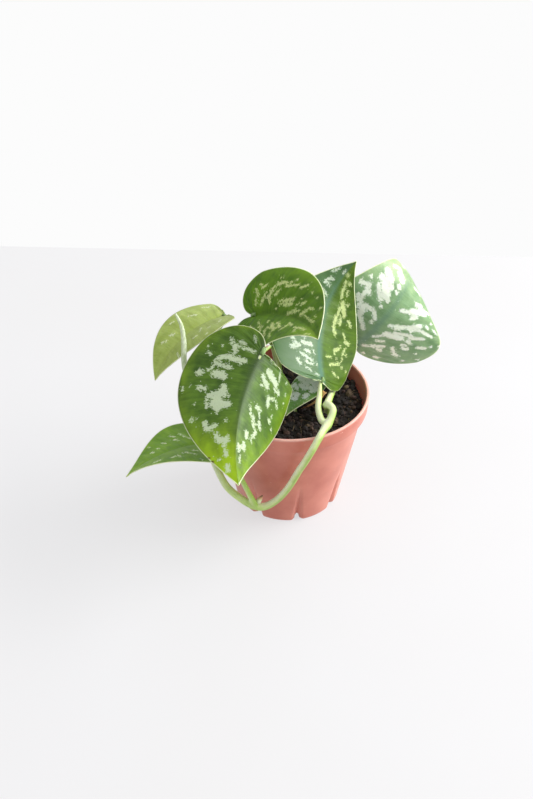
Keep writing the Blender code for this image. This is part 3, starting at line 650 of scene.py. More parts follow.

# %% [markdown]
# The silver comes from air under the skin of the leaf. It lies in islands that follow the
# veins. Each island here is a short brush stroke, read off in an enlarged view of its
# blade: from where to where and how wide, in the view's own pixels. The few strokes on parts
# of blades that the picture doesn't show have their places in shares of the blade's length
# instead, and their widths in millimetres.

# %% Silver islands
PICTURE_W, PICTURE_H = 533, 799      # pixels
VIEWS = {    # top left corner of the view in the picture's own pixels, and its enlargement
    "leaf_a": (170, 320, 9.223), "leaf_b": (230, 255, 13.07), "leaf_c": (270, 260, 11.2),
    "leaf_d": (340, 250, 12.55), "leaf_e": (120, 290, 13.07), "leaf_f": (120, 410, 12.06),
    "leaf_g": (270, 330, 17.43),
}
STROKES = {
    "leaf_a": (
        (570, 170, 590, 210, 25), (600, 235, 600, 285, 50), (560, 215, 700, 270, 18),
        (650, 198, 695, 225, 30), (700, 265, 780, 295, 30), (780, 150, 795, 200, 18),
        (350, 300, 380, 310, 25), (480, 240, 480, 240, 20), (360, 240, 360, 240, 14),
        (450, 345, 560, 330, 45), (520, 340, 680, 375, 55), (640, 400, 690, 380, 25),
        (400, 390, 450, 340, 25), (430, 400, 560, 440, 38), (350, 460, 400, 430, 28),
        (410, 490, 500, 525, 60), (440, 480, 500, 490, 40), (265, 480, 285, 485, 60),
        (260, 625, 320, 630, 45), (490, 610, 490, 690, 60), (360, 700, 500, 650, 60),
        (390, 770, 530, 775, 75), (430, 700, 440, 800, 90), (330, 730, 335, 810, 24),
        (430, 850, 450, 830, 20), (225, 775, 225, 775, 22), (110, 620, 108, 650, 16),
        (190, 605, 190, 605, 14), (550, 690, 540, 710, 14), (200, 915, 200, 930, 30),
        (235, 915, 235, 915, 12), (325, 950, 330, 1010, 45), (340, 1005, 420, 975, 45),
        (370, 1020, 375, 1020, 30), (430, 1060, 450, 1120, 50), (450, 1100, 520, 1110, 60),
        (525, 1075, 495, 1160, 34), (510, 1210, 515, 1250, 40), (455, 1285, 457, 1290, 25),
        (530, 1345, 535, 1390, 44), (515, 915, 515, 930, 14), (910, 480, 975, 590, 70),
        (860, 520, 900, 620, 50), (845, 600, 860, 600, 30), (960, 640, 1000, 690, 30),
        (995, 660, 1000, 665, 36), (1015, 490, 1010, 550, 20), (905, 720, 900, 790, 45),
        (900, 730, 960, 730, 28), (975, 745, 985, 810, 24), (738, 790, 745, 870, 24),
        (800, 800, 830, 830, 42), (822, 850, 826, 900, 22), (765, 890, 770, 990, 38),
        (822, 940, 826, 1000, 38), (775, 960, 800, 965, 22), (912, 930, 914, 935, 42),
        (940, 880, 935, 900, 12), (705, 1030, 705, 1080, 48), (790, 1030, 770, 1070, 40),
        (750, 1075, 745, 1120, 24), (635, 1150, 635, 1200, 42), (680, 1140, 680, 1190, 44),
        (655, 1170, 660, 1170, 40), (650, 1255, 640, 1310, 16), (930, 370, 1000, 400, 14),
        (1075, 580, 1077, 590, 14), (1060, 688, 1060, 690, 16), (1045, 770, 1045, 775, 16),
        (935, 1010, 930, 1020, 10)),
    "leaf_b": (
        (665, 280, 690, 288, 24), (640, 375, 715, 358, 58), (720, 370, 820, 350, 26),
        (735, 412, 895, 395, 34), (600, 405, 540, 450, 24), (560, 450, 500, 560, 44),
        (470, 490, 405, 640, 26), (510, 540, 515, 625, 28), (585, 520, 645, 462, 40),
        (400, 380, 420, 390, 18), (430, 430, 480, 390, 24), (345, 450, 370, 530, 38),
        (335, 580, 342, 650, 28), (930, 425, 1010, 402, 42), (880, 325, 885, 320, 20),
        (640, 605, 700, 570, 20), (650, 650, 720, 610, 24), (700, 600, 830, 578, 48),
        (715, 650, 795, 640, 56), (870, 640, 900, 635, 22), (930, 650, 985, 612, 36),
        (930, 570, 935, 568, 12), (745, 775, 895, 728, 34), (840, 718, 860, 715, 30),
        (920, 780, 1030, 700, 46), (1030, 700, 1085, 705, 30), (960, 780, 1050, 860, 20),
        (1050, 850, 1085, 880, 38), (1110, 805, 1115, 803, 22), (1135, 555, 1137, 557, 24),
        (1078, 492, 1078, 494, 18), (1175, 700, 1185, 690, 18), (495, 870, 500, 872, 34),
        (480, 950, 600, 955, 38), (545, 900, 560, 980, 50), (620, 885, 650, 940, 44),
        (650, 980, 780, 900, 26), (780, 888, 800, 922, 40), (845, 945, 975, 972, 42),
        (850, 965, 830, 1000, 28), (980, 1030, 1040, 1032, 14), (370, 860, 400, 990, 24),
        (380, 940, 420, 940, 30), (600, 700, 605, 700, 24)),
    "leaf_c": (
        (240, 962, 325, 948, 48), (275, 910, 310, 950, 36), (365, 920, 465, 945, 44),
        (405, 1010, 440, 1030, 44), (345, 1035, 465, 1118, 38), (490, 1015, 497, 1050, 18),
        (310, 1108, 335, 1150, 44), (400, 1130, 480, 1168, 26), (400, 1190, 460, 1230, 18),
        (518, 1155, 525, 1170, 24), (510, 1268, 540, 1282, 22), (700, 130, 780, 90, 20),
        (620, 240, 685, 200, 34), (690, 210, 700, 212, 38), (655, 268, 658, 280, 30),
        (600, 320, 635, 390, 20), (870, 165, 872, 175, 34), (822, 150, 842, 120, 18),
        (848, 240, 830, 330, 28), (820, 330, 800, 420, 30), (895, 268, 897, 278, 36),
        (875, 350, 860, 400, 20), (812, 480, 830, 620, 54), (780, 540, 760, 620, 38),
        (740, 640, 710, 740, 44), (712, 740, 730, 830, 40), (792, 660, 780, 720, 34),
        (755, 700, 765, 702, 20), (880, 690, 900, 745, 34), (878, 490, 865, 520, 12),
        (820, 820, 835, 890, 18), (840, 920, 878, 942, 40), (720, 1015, 765, 1000, 44),
        (720, 1050, 722, 1052, 34), (790, 968, 770, 985, 20), (630, 1080, 690, 1090, 20),
        (740, 1105, 745, 1107, 30), (840, 1000, 812, 1060, 30), (850, 1070, 853, 1070, 30),
        (802, 1110, 800, 1140, 24), (665, 1175, 775, 1162, 30), (800, 1205, 803, 1208, 28),
        (705, 1258, 735, 1295, 34), (760, 1312, 765, 1318, 22), (845, 1250, 847, 1254, 28)),
    "leaf_d": (
        (262, 402, 370, 440, 38), (345, 500, 245, 620, 44), (230, 560, 235, 600, 40),
        (368, 528, 372, 545, 22), (300, 700, 250, 800, 70), (300, 680, 380, 735, 40),
        (420, 740, 442, 870, 28), (252, 820, 292, 990, 34), (262, 640, 225, 700, 30),
        (390, 900, 395, 905, 34), (390, 330, 392, 335, 18), (600, 262, 640, 380, 80),
        (525, 330, 600, 400, 60), (485, 440, 508, 620, 36), (560, 420, 580, 580, 90),
        (640, 465, 642, 475, 60), (600, 640, 605, 645, 34), (510, 710, 512, 715, 20),
        (740, 450, 745, 470, 34), (712, 530, 716, 538, 24), (755, 290, 785, 380, 66),
        (685, 200, 760, 240, 28), (775, 760, 900, 790, 38), (905, 780, 1060, 800, 80),
        (960, 685, 1020, 705, 36), (900, 860, 960, 850, 44), (1000, 740, 1110, 810, 34),
        (940, 480, 1000, 560, 20), (612, 950, 760, 962, 24), (695, 990, 860, 972, 38),
        (865, 978, 1000, 958, 66), (1000, 1010, 1140, 1090, 38), (880, 1020, 1000, 1004, 24),
        (420, 1080, 600, 1070, 22), (575, 1060, 760, 1108, 70), (690, 1045, 900, 1080, 38),
        (880, 1110, 1040, 1120, 48), (840, 1140, 880, 1180, 28), (460, 1140, 540, 1146, 13),
        (292, 1190, 340, 1202, 28), (400, 1200, 540, 1210, 44), (470, 1240, 500, 1260, 34),
        (650, 1222, 672, 1280, 28), (672, 1300, 718, 1330, 28), (770, 1190, 820, 1200, 16),
        (785, 1240, 840, 1242, 38), (980, 1230, 1055, 1232, 48), (940, 1300, 945, 1302, 20),
        (1135, 1215, 1138, 1218, 22), (1080, 960, 1100, 990, 28), (1140, 930, 1145, 935, 24),
        (1170, 1010, 1210, 1062, 18), (1240, 1210, 1242, 1212, 13), (430, 1340, 480, 1352, 12),
        (290, 1290, 294, 1294, 13), (970, 1375, 975, 1376, 15), (785, 1390, 789, 1392, 13)),
    "leaf_e": (
        (660, 440, 700, 420, 25), (665, 590, 700, 575, 40), (550, 690, 600, 670, 30),
        (1150, 490, 1170, 480, 20), (1130, 570, 1133, 572, 20), (960, 630, 1000, 600, 20),
        (750, 830, 768, 870, 18)),
    "leaf_f": (
        (600, 315, 650, 325, 12), (655, 360, 700, 362, 30), (510, 400, 540, 400, 18),
        (455, 465, 457, 467, 18), (380, 515, 402, 515, 15), (715, 290, 840, 345, 16),
        (350, 450, 352, 452, 13), (870, 485, 925, 486, 18), (760, 516, 820, 508, 20),
        (820, 515, 930, 532, 20), (620, 570, 710, 550, 15), (730, 560, 735, 560, 12),
        (415, 632, 490, 602, 13), (970, 590, 990, 600, 12)),
    "leaf_g": (
        (430, 740, 440, 800, 40), (480, 780, 560, 850, 70), (560, 820, 800, 900, 90),
        (700, 860, 820, 960, 70), (540, 960, 590, 1000, 38), (460, 1120, 463, 1125, 60),
        (620, 1000, 640, 1010, 56), (700, 1000, 740, 1060, 44), (410, 1190, 440, 1192, 28),
        (640, 1130, 644, 1132, 16), (470, 1010, 474, 1012, 28), (600, 900, 640, 960, 50),
        (780, 960, 800, 1040, 40)),
}
UNSEEN = {
    "leaf_b": (
        (0.00, -0.28, 0.05, -0.33, 1.8), (0.12, -0.24, 0.18, -0.30, 2.0),
        (0.22, -0.34, 0.27, -0.38, 1.4), (0.28, -0.22, 0.34, -0.27, 2.0),
        (0.02, -0.16, 0.08, -0.19, 1.5), (0.40, -0.24, 0.45, -0.28, 1.3)),
    "leaf_c": (
        (0.30, 0.15, 0.33, 0.22, 2.2), (0.37, 0.12, 0.40, 0.18, 1.7),
        (0.44, 0.20, 0.47, 0.28, 2.4), (0.50, 0.10, 0.53, 0.16, 1.6),
        (0.35, 0.30, 0.38, 0.35, 2.0), (0.26, 0.25, 0.29, 0.31, 1.7),
        (0.56, 0.20, 0.60, 0.25, 2.2), (0.60, 0.10, 0.63, 0.14, 1.4),
        (0.48, 0.32, 0.51, 0.36, 1.2), (0.38, 0.22, 0.41, 0.24, 1.2)),
    "leaf_d": (
        (0.02, 0.15, 0.06, 0.22, 2.0), (0.10, 0.25, 0.16, 0.32, 2.4),
        (0.20, 0.35, 0.26, 0.40, 1.8), (-0.05, 0.22, -0.01, 0.30, 1.8),
        (0.80, 0.05, 0.85, 0.07, 1.2), (0.82, -0.06, 0.86, -0.08, 1.1)),
    "leaf_e": (
        (0.10, 0.20, 0.14, 0.26, 1.0), (0.22, -0.20, 0.27, -0.25, 1.0),
        (0.30, 0.12, 0.34, 0.16, 0.9), (0.05, -0.30, 0.10, -0.33, 0.9)),
    "leaf_f": (
        (0.00, 0.20, 0.05, 0.26, 1.2), (0.12, 0.12, 0.17, 0.18, 1.1),
        (0.15, 0.30, 0.20, 0.35, 1.3), (-0.02, -0.20, 0.03, -0.26, 1.2)),
    "leaf_g": (
        (0.30, -0.20, 0.36, -0.25, 1.2), (0.45, 0.12, 0.50, 0.15, 1.1),
        (0.50, -0.12, 0.55, -0.14, 1.0), (0.10, -0.30, 0.14, -0.33, 1.2)),
}
print("islands:", {name: len(strokes) for name, strokes in STROKES.items()})


# %% [markdown]
# A stroke is brought from the picture to the blade by the camera itself: every point of the
# bent blade has its place in the picture, and the points nearest to the end of a stroke, in
# the layer that the camera sees, say where that end lies on the flat blade. The strokes then
# become one number for each point of the blade: how far, in millimetres, it lies inside the
# nearest island. NumPy does this for all points at once.

# %% Distance to the silver
POT_AWAY = 590                       # from the camera to the pot, in millimetres
focal = camera.data.lens / camera.data.sensor_width * PICTURE_H


def in_picture(points):
    """Where points in millimetres lie in the picture, and how far away each one is."""
    turn = np.array(camera.rotation_euler.to_matrix())
    seen = (points - np.array(camera.location) / MM) @ turn
    away = -seen[:, 2]
    return np.stack([PICTURE_W / 2 + focal * seen[:, 0] / away,
                     PICTURE_H / 2 - focal * seen[:, 1] / away], axis=1), away


def strokes_on_blade(name, flat, bent):
    """Each stroke as two places on the flat blade and a width, in millimetres."""
    length = LEAVES[name]["length"]
    found = [(np.array((x1, y1)) * length, np.array((x2, y2)) * length, wide)
             for x1, y1, x2, y2, wide in UNSEEN.get(name, ())]
    pixels, away = in_picture(bent)
    left, top, zoom = VIEWS[name]
    for u1, v1, u2, v2, wide in STROKES[name]:
        ends = []
        for u, v in ((u1, v1), (u2, v2)):
            miss = np.linalg.norm(pixels - (left + u / zoom, top + v / zoom), axis=1)
            near = miss < max(1.5, miss.min() + 0.4)
            near &= away < away[near].min() + 3.0
            weight = near / (miss ** 2 + 0.05)
            ends.append(weight @ flat / weight.sum())
        found.append((*ends, wide / zoom * (weight @ away / weight.sum()) / focal))
    return found


def silver_depth(name, flat, bent):
    """How far each point lies inside the nearest island; below zero is outside."""
    depth = np.full(len(flat), -3.0)
    for p, q, wide in strokes_on_blade(name, flat, bent):
        run = q - p
        share = np.clip(((flat - p) @ run) / max(run @ run, 1e-6), 0, 1)
        gap = np.linalg.norm(flat - p - share[:, None] * run, axis=1)
        depth = np.maximum(depth, max(wide / 2, 0.5) - gap)
    return depth


print("one picture pixel is", round(POT_AWAY / focal, 2), "mm at the pot")

# %% [markdown]
# The living blade is satin: a waxy skin over cells like tiny lenses. Four greens are mixed. A
# dull band lies along the midrib, streaks follow the veins, and the edge and tip turn to gold.
# The silver islands go on top with an edge broken by noise that is drawn out along the veins,
# and a pale line is painted round the margin: partly the margin's own pale colour, partly
# painted light where the blade thins and lets light through.

# %% Blade material
def vein_noise(tree, flat, across, along, detail=3.0, rough=0.6):
    """Noise drawn out along the veins; its grain is given in millimetres."""
    drawn = add(tree, "ShaderNodeMapping", {"Vector": flat, "Scale": (1 / across, 1 / along, 1)})
    return add(tree, "ShaderNodeTexNoise", {"Vector": drawn.outputs[0], "Scale": 1.0,
                                            "Detail": detail, "Roughness": rough}).outputs["Fac"]


def blend(tree, share, under, over):
    """Mix two colours; each is a hex code or an output."""
    ends = [colour(c) if isinstance(c, str) else c for c in (under, over)]
    return add(tree, "ShaderNodeMix", {0: share, 6: ends[0], 7: ends[1]},
               data_type="RGBA").outputs[2]


def blade_material(name, deep, mid, gold, band, silver, islands=0.0, left=()):
    """The upper skin of a blade; islands swells its silver; left is painted light on its left
    half.
    """
    made, tree, shader = new_material(name, IOR=1.42, Specular_IOR_Level=0.36)
    let_light_in(shader, 0.15, (0.7, 1.0, 0.15), 0.0012)
    flat = add(tree, "ShaderNodeUVMap", uv_map="veins").outputs["UV"]
    depth, golden, banded, edge, spot = (
        add(tree, "ShaderNodeAttribute", attribute_name=key).outputs["Fac"]
        for key in ("silver", "gold", "band", "edge", "spot"))

    # greens: streaks 1.1 mm across the veins and 9 mm along them, on clouds of a centimetre,
    # with a grain of a quarter of a millimetre
    streak = vein_noise(tree, flat, 1.1, 9.0, 4.0)
    cloud = vein_noise(tree, flat, 9.0, 12.0, 2.0)
    grain = vein_noise(tree, flat, 0.22, 0.35, 1.0)
    both = add(tree, "ShaderNodeMix", {0: 0.4, 2: cloud, 3: streak}).outputs[0]
    both = add(tree, "ShaderNodeMix", {0: 0.22, 2: both, 3: grain}).outputs[0]
    spread = add(tree, "ShaderNodeMapRange", {"Value": both, "From Min": 0.38,
                                              "From Max": 0.62}).outputs[0]
    drift = add(tree, "ShaderNodeMath", {0: cloud, 1: 1.6, 2: -0.8}, operation="MULTIPLY_ADD")
    sunned = add(tree, "ShaderNodeMath", {0: golden, 1: drift.outputs[0]}, operation="ADD")
    sunned = add(tree, "ShaderNodeMath", {0: sunned.outputs[0], 1: golden}, operation="MULTIPLY")
    sunned.use_clamp = True
    green = blend(tree, spread, deep, mid)
    gilded = blend(tree, sunned.outputs[0], green, gold)
    # painted light: the left half gets its own greyer, bluer greens and silver, standing in for
    # how that half is lit
    if left:
        half = add(tree, "ShaderNodeSeparateXYZ", {"Vector": flat}).outputs["X"]
        half = add(tree, "ShaderNodeMapRange", {"Value": half, "From Max": 0.1,
                                                "To Max": 0.75}).outputs[0]
        gilded = blend(tree, half, gilded, left[0])
        silver = blend(tree, half, silver, left[1])
    ribbed = blend(tree, banded, gilded, band)

    # islands: edge torn at 0.7 mm and again at 0.3 mm, with stray flecks near them
    torn = vein_noise(tree, flat, 0.7, 1.7, 3.0, 0.65)
    frayed = vein_noise(tree, flat, 0.3, 0.7, 1.0)
    shift = add(tree, "ShaderNodeMath", {0: torn, 1: 5.8, 2: islands - 3.85},
                operation="MULTIPLY_ADD").outputs[0]
    shift = add(tree, "ShaderNodeMath", {0: frayed, 1: 2.1, 2: shift},
                operation="MULTIPLY_ADD").outputs[0]
    inside = add(tree, "ShaderNodeMath", {0: depth, 1: shift}, operation="ADD").outputs[0]
    stray = vein_noise(tree, flat, 0.9, 1.9, 1.0)
    stray = add(tree, "ShaderNodeMath", {0: stray, 1: 13.0, 2: islands - 8.9},
                operation="MULTIPLY_ADD").outputs[0]
    flecks = add(tree, "ShaderNodeMath", {0: depth, 1: 0.42, 2: stray},
                 operation="MULTIPLY_ADD").outputs[0]
    shown = add(tree, "ShaderNodeMath", {0: inside, 1: flecks}, operation="MAXIMUM").outputs[0]
    mask = add(tree, "ShaderNodeMapRange", {"Value": shown, "From Min": -0.1,
                                            "From Max": 0.3}).outputs[0]
    mottled = add(tree, "ShaderNodeMapRange", {"Value": frayed, "From Min": 0.3, "From Max": 0.7,
                                               "To Min": 0.78, "To Max": 1.0}).outputs[0]
    veiled = add(tree, "ShaderNodeMath", {0: mask, 1: mottled}, operation="MULTIPLY").outputs[0]
    silvered = blend(tree, veiled, ribbed, silver)
    # the pale margin line: partly the margin's own colour, partly painted light shining through
    # the thin edge
    line = add(tree, "ShaderNodeMapRange", {"Value": edge, "From Min": 0.15, "From Max": 0.45,
                                            "To Min": 0.9, "To Max": 0.0}).outputs[0]
    lined = blend(tree, line, silvered, "#e9f0c8")
    browned = blend(tree, spot, lined, "#4a2412")
    tree.links.new(browned, shader.inputs["Base Color"])

    satin = add(tree, "ShaderNodeMath", {0: mask, 1: 0.12, 2: 0.36}, operation="MULTIPLY_ADD")
    satin = add(tree, "ShaderNodeMath", {0: banded, 1: 0.25, 2: satin.outputs[0]},
                operation="MULTIPLY_ADD")
    tree.links.new(satin.outputs[0], shader.inputs["Roughness"])
    raised = add(tree, "ShaderNodeMath", {0: mask, 1: 0.2, 2: streak},
                 operation="MULTIPLY_ADD").outputs[0]
    raised = add(tree, "ShaderNodeMath", {0: frayed, 1: 0.25, 2: raised},
                 operation="MULTIPLY_ADD").outputs[0]
    bump = add(tree, "ShaderNodeBump", {"Height": raised, "Strength": 0.4, "Distance": 0.0004})
    tree.links.new(bump.outputs[0], shader.inputs["Normal"])
    return made


# deep and middle green, gold, band along the midrib, silver
TOPS = {
    "leaf_a": blade_material("satin blade A", "#2f4d0c", "#587a20", "#90b00c", "#3b4b30",
                             "#bac8a8"),
    "leaf_b": blade_material("green blade B", "#406606", "#66900f", "#90b212", "#44621c",
                             "#c6d28c"),
    # C's left half is painted greyer and bluer, as painted light for how that half is lit
    "leaf_c": blade_material("blade C with painted light on its left half", "#35520a", "#527214", "#7a9a10", "#4d7566",
                             "#b9c786", left=("#4a6c46", "#c3cfc6")),
    "leaf_d": blade_material("silver blade D", "#64895a", "#86a578", "#b0c38c", "#5f8274",
                             "#e4ebdc", islands=0.5),
    "leaf_e": blade_material("young blade E", "#93a64a", "#b2c46c", "#bccb74", "#a4b664",
                             "#d8e2b8"),
    "leaf_f": blade_material("green blade F", "#5f8c08", "#88b41e", "#9cbc2c", "#5f8a2a",
                             "#e6eecc"),
    # G's colours are set lighter, partly as painted light that makes up for the shade G lies in
    "leaf_g": blade_material("silver blade G", "#568a34", "#7ca65a", "#a4c060", "#9fb8a4",
                             "#f2faf4", islands=0.9),
}
print("blade materials:", len(TOPS))

# %% [markdown]
# The underside has no silver. It is a plain paler green with a matt skin, and the veins show
# as slightly lighter lines. The cut edge of the blade is a thin pale seam of its own, partly
# its own colour and partly painted light shining through the thin edge.

# %% Underside and margin
under, tree, shader = new_material("plain underside", Roughness=0.55, IOR=1.45)
let_light_in(shader, 0.2, (0.6, 1.0, 0.25), 0.0015)
flat = add(tree, "ShaderNodeUVMap", uv_map="veins").outputs["UV"]
streak_map = add(tree, "ShaderNodeMapping", {"Vector": flat, "Scale": (0.5, 0.06, 1)})
streak = add(tree, "ShaderNodeTexNoise", {"Vector": streak_map.outputs[0], "Scale": 1.0,
                                          "Detail": 4.0}).outputs["Fac"]
tone = shades(tree, streak, (0.3, "#7b9a5a"), (0.7, "#88a868"))
tree.links.new(tone, shader.inputs["Base Color"])
bump = add(tree, "ShaderNodeBump", {"Height": streak, "Strength": 0.3, "Distance": 0.0004})
tree.links.new(bump.outputs[0], shader.inputs["Normal"])

# the seam's pale colour is partly the margin's own and partly painted light through the thin edge
seam, tree, shader = new_material("pale leaf margin", Roughness=0.4, IOR=1.45)
let_light_in(shader, 0.3, (1.0, 1.0, 0.5), 0.001)
place = add(tree, "ShaderNodeTexCoord").outputs["Object"]
dots = add(tree, "ShaderNodeTexNoise", {"Vector": place, "Scale": 260.0, "Detail": 2.0})
tone = shades(tree, dots.outputs["Fac"], (0.0, "#d3de9c"), (1.0, "#eef2d6"))
tree.links.new(tone, shader.inputs["Base Color"])
print("finishes:", under.name, "and", seam.name)

# %% [markdown]
# Each blade starts as a flat grid. Its corners are bent into place, and layers on them keep
# what the material reads. Solidify gives the thickness downwards from the upper face. A vertex
# group makes it stout along the midrib and thin at the margin, as in a real leaf.

# %% Building the blades
ROWS, COLS, THICK = 150, 30, 1.4     # grid steps, and thickness where the blade is stoutest
# Where the green turns to gold: first and last share of the length, the side that turns most,
# how much it turns, and how strong the dull band along the midrib is.
GOLD = {"leaf_a": (0.35, 0.85, -1, 1.0, 0.8), "leaf_b": (0.5, 0.95, -1, 0.7, 0.25),
        "leaf_c": (0.7, 1.0, -1, 0.4, 0.8), "leaf_d": (0.45, 0.8, 1, 0.8, 0.6),
        "leaf_e": (0.6, 1.0, 1, 0.5, 0.3), "leaf_f": (0.5, 1.0, 1, 0.6, 0.15),
        "leaf_g": (0.7, 1.0, 1, 0.8, 0.3)}
# Brown specks on the margin: x and y as shares of the length, and radius.
SPOTS = {"leaf_a": ((0.805, -0.146, 0.55), (0.776, -0.168, 0.5))}


def ramp(value, start, stop):
    """0 before start, 1 after stop, and a soft rise between them."""
    t = min(max((value - start) / (stop - start), 0.0), 1.0)
    return t * t * (3 - 2 * t)


def build_blade(name):
    """One blade: its bent grid, the layers for its material, and its thickness."""
    leaf = LEAVES[name]
    rows = midrib(leaf)
    margin = spline([(x, y, 0, 0) for x, y in OUTLINE], ROWS + 1)
    length = leaf["length"]
    bm = bmesh.new()
    bmesh.ops.create_grid(bm, x_segments=ROWS, y_segments=2 * COLS, size=0.5)
    grid = [(v.co.x + 0.5, round(2 * v.co.y * COLS) / COLS) for v in bm.verts]
    flat = np.array([flat_place(leaf, margin, a, b) for a, b in grid])
    layers = {key: bm.verts.layers.float.new(key) for key in ("silver", "gold", "band",
                                                               "edge", "spot")}
    weights = bm.verts.layers.deform.verify()
    uv = bm.loops.layers.uv.new("veins")
    for face in bm.faces:
        side = 1 if face.calc_center_median().y >= 0 else -1
        for loop in face.loops:
            a, b = grid[loop.vert.index]
            reach = abs(flat[loop.vert.index][1]) + 0.3 * abs(b) * length * abs(0.4 - a)
            loop[uv].uv = (side * 400 + a * 1.35 * length, reach)
    first, last, gold_side, strength, dull = GOLD[name]
    for v, (a, b), (x, y) in zip(bm.verts, grid, flat):
        share, off = x / length, abs(y)
        rib = max(0.0, 1 - max(share, 0)) ** 0.7
        groove = -0.4 * rib * math.exp(-(off / 1.7) ** 2)
        quilt = 0.14 * math.sin(2 * math.pi * 15 * a) * math.sin(math.pi * abs(b)) ** 0.7
        v.co = on_blade(leaf, rows, x, y, groove + quilt * length / 79)
        near_edge = ramp(abs(b), 0.72, 1.0)
        side = 1.0 if y * gold_side >= 0 else 0.55
        v[layers["gold"]] = strength * max(ramp(share, first, last) * side, 0.5 * near_edge)
        v[layers["band"]] = dull * rib * math.exp(-(off / (2.4 * rib + 0.3)) ** 2)
        v[layers["spot"]] = 0.0
        for sx, sy, wide in SPOTS.get(name, ()):
            gap = math.hypot(x - sx * length, y - sy * length)
            v[layers["spot"]] = max(v[layers["spot"]], 1 - ramp(gap, wide, wide + 0.4))
        v[layers["edge"]] = (1 - abs(b)) * max(off, 0.6) / max(abs(b), 0.1)
        stout = 0.34 + 0.16 * (1 - abs(b)) + 0.8 * rib * math.exp(-(off / 1.0) ** 2)
        v[weights][0] = min(stout / THICK, 1.0)
    bent = np.array([v.co for v in bm.verts])
    for v, depth in zip(bm.verts, silver_depth(name, flat, bent)):
        v[layers["silver"]] = depth
    bmesh.ops.remove_doubles(bm, verts=bm.verts, dist=0.01)
    bmesh.ops.dissolve_degenerate(bm, edges=bm.edges, dist=0.01)
    ob = finish(name + "_blade", bm, [TOPS[name], under, seam], (name,))
    ob.vertex_groups.new(name="thick")
    mod = ob.modifiers.new("thickness", "SOLIDIFY")
    mod.thickness, mod.offset = THICK * MM, -1.0
    mod.vertex_group, mod.thickness_vertex_group = "thick", 0.0
    mod.material_offset, mod.material_offset_rim = 1, 2


for name in LEAVES:
    build_blade(name)

# %% [markdown]
# The stems are round, fleshy and a little swollen where leaves join. Each is a bevelled curve
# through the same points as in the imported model. Where a side stem leaves the vine the two
# grow together, so the curves are merged by a voxel remesh, which rounds every junction, and
# then smoothed.

# %% Stem runs
# x, y, z and radius; a run that rises from the soil starts well below the soil's top
VINE = (
    (21, -13.5, 56, 2.0), (21, -13.6, 64, 2.0), (20.8, -15.8, 71, 2.0), (20, -24.5, 79.5, 2.4),
    (21.8, -28, 81.8, 2.1), (23, -31, 81, 2.0), (21.6, -34.5, 78.3, 2.1), (19.8, -37, 76.3, 2.6),
    (17.6, -41, 75.6, 2.1), (15.1, -46, 74.4, 2.0), (11.5, -49.5, 69, 2.0), (7.9, -49.5, 61, 2.0),
    (5.2, -47.5, 53.8, 2.0), (1.3, -44.5, 42, 2.0), (-2.6, -42, 32.5, 2.0), (-7.4, -40, 24.5, 2.1),
    (-13.5, -39.6, 20, 2.3), (-19.5, -40.3, 21.6, 2.5), (-27, -40.6, 27.4, 2.2),
    (-34.2, -39.5, 35, 2.1), (-39.5, -33, 42, 2.0), (-44.5, -22, 48, 1.9), (-48.5, -12, 55, 1.9),
    (-51, -8.5, 64, 1.8), (-51.5, -10, 73, 1.9), (-51, -12.5, 80, 2.1))
BRANCHES = {
    "leaf_c": ((19.8, -36.5, 76.5, 2.0), (16.8, -34, 77.2, 1.9), (15.3, -27.5, 80.2, 1.8),
               (16.2, -19, 82.6, 1.5)),
    "leaf_d": ((20, -24, 79.5, 2.1), (24.0, -4, 73.0, 1.8), (28, 12, 72.3, 1.6),
               (34.6, 28, 76, 1.4)),
    "leaf_e": ((-51, -12, 79.5, 1.8), (-50, -6, 87, 1.6), (-44, 7, 95, 1.4),
               (-39, 16, 101, 1.3)),
    "leaf_f": ((-18.5, -40.6, 21.5, 2.0), (-22, -42, 32, 1.6), (-27, -42.3, 45, 1.5),
               (-33.5, -39.8, 55, 1.4)),
}
PETIOLES = {
    "leaf_a": ((3.6, -12, 56, 1.5), (3.6, -12, 64, 1.5), (1.2, -8, 70, 1.5),
               (-3.6, -2, 77.5, 1.4), (-6.2, -1.5, 95, 1.4), (-9.6, -8.6, 106.8, 1.0)),
    "leaf_b": ((-5, 17, 56, 1.5), (-5, 17, 64, 1.5), (-8.5, 21, 85, 1.4), (-14.5, 17, 104, 1.3)),
    "leaf_g": ((11, 12, 56, 1.2), (11, 12, 65, 1.2), (12.6, 7, 73, 1.1)),
}
# how deep the top of a petiole runs under the upper face: across a folded half, and straight
RIB_SUNK, UNDER_SKIN = 0.2, 0.55


def into_blade(name):
    """The last points of a petiole: into the base of the blade and on under its midrib."""
    leaf = LEAVES[name]
    rows = midrib(leaf)
    steep = math.cos(math.radians(max(abs(f) for f in leaf["fold"])))
    at, fwd, _, up = rows[0]
    points = [(*(at - fwd * 0.6 - up * 2.1), 0.9)]
    for share, radius in ((0.07, 0.85), (0.16, 0.6), (0.28, 0.4), (0.42, 0.25)):
        at, _, _, up = rows[round(share * (len(rows) - 1))]
        points.append((*(at - up * ((radius + RIB_SUNK) / steep + UNDER_SKIN)), radius))
    return tuple(points)


def tube(points, count):
    """A bevelled curve through the points as a closed bmesh in millimetres."""
    curve = bpy.data.curves.new("run", "CURVE")
    curve.dimensions = "3D"
    curve.bevel_depth, curve.bevel_resolution, curve.use_fill_caps = 1.0, 3, True
    run = curve.splines.new("POLY")
    run.points.add(count - 1)
    for point, (x, y, z, r) in zip(run.points, spline(points, count)):
        point.co, point.radius = (x, y, z, 1.0), r
    ob = bpy.data.objects.new("run", curve)
    bpy.context.scene.collection.objects.link(ob)
    out = bmesh.new()
    out.from_mesh(bpy.data.meshes.new_from_object(ob))
    bpy.data.objects.remove(ob, do_unlink=True)
    bmesh.ops.remove_doubles(out, verts=out.verts, dist=0.001)
    bmesh.ops.recalc_face_normals(out, faces=out.faces)
    return out


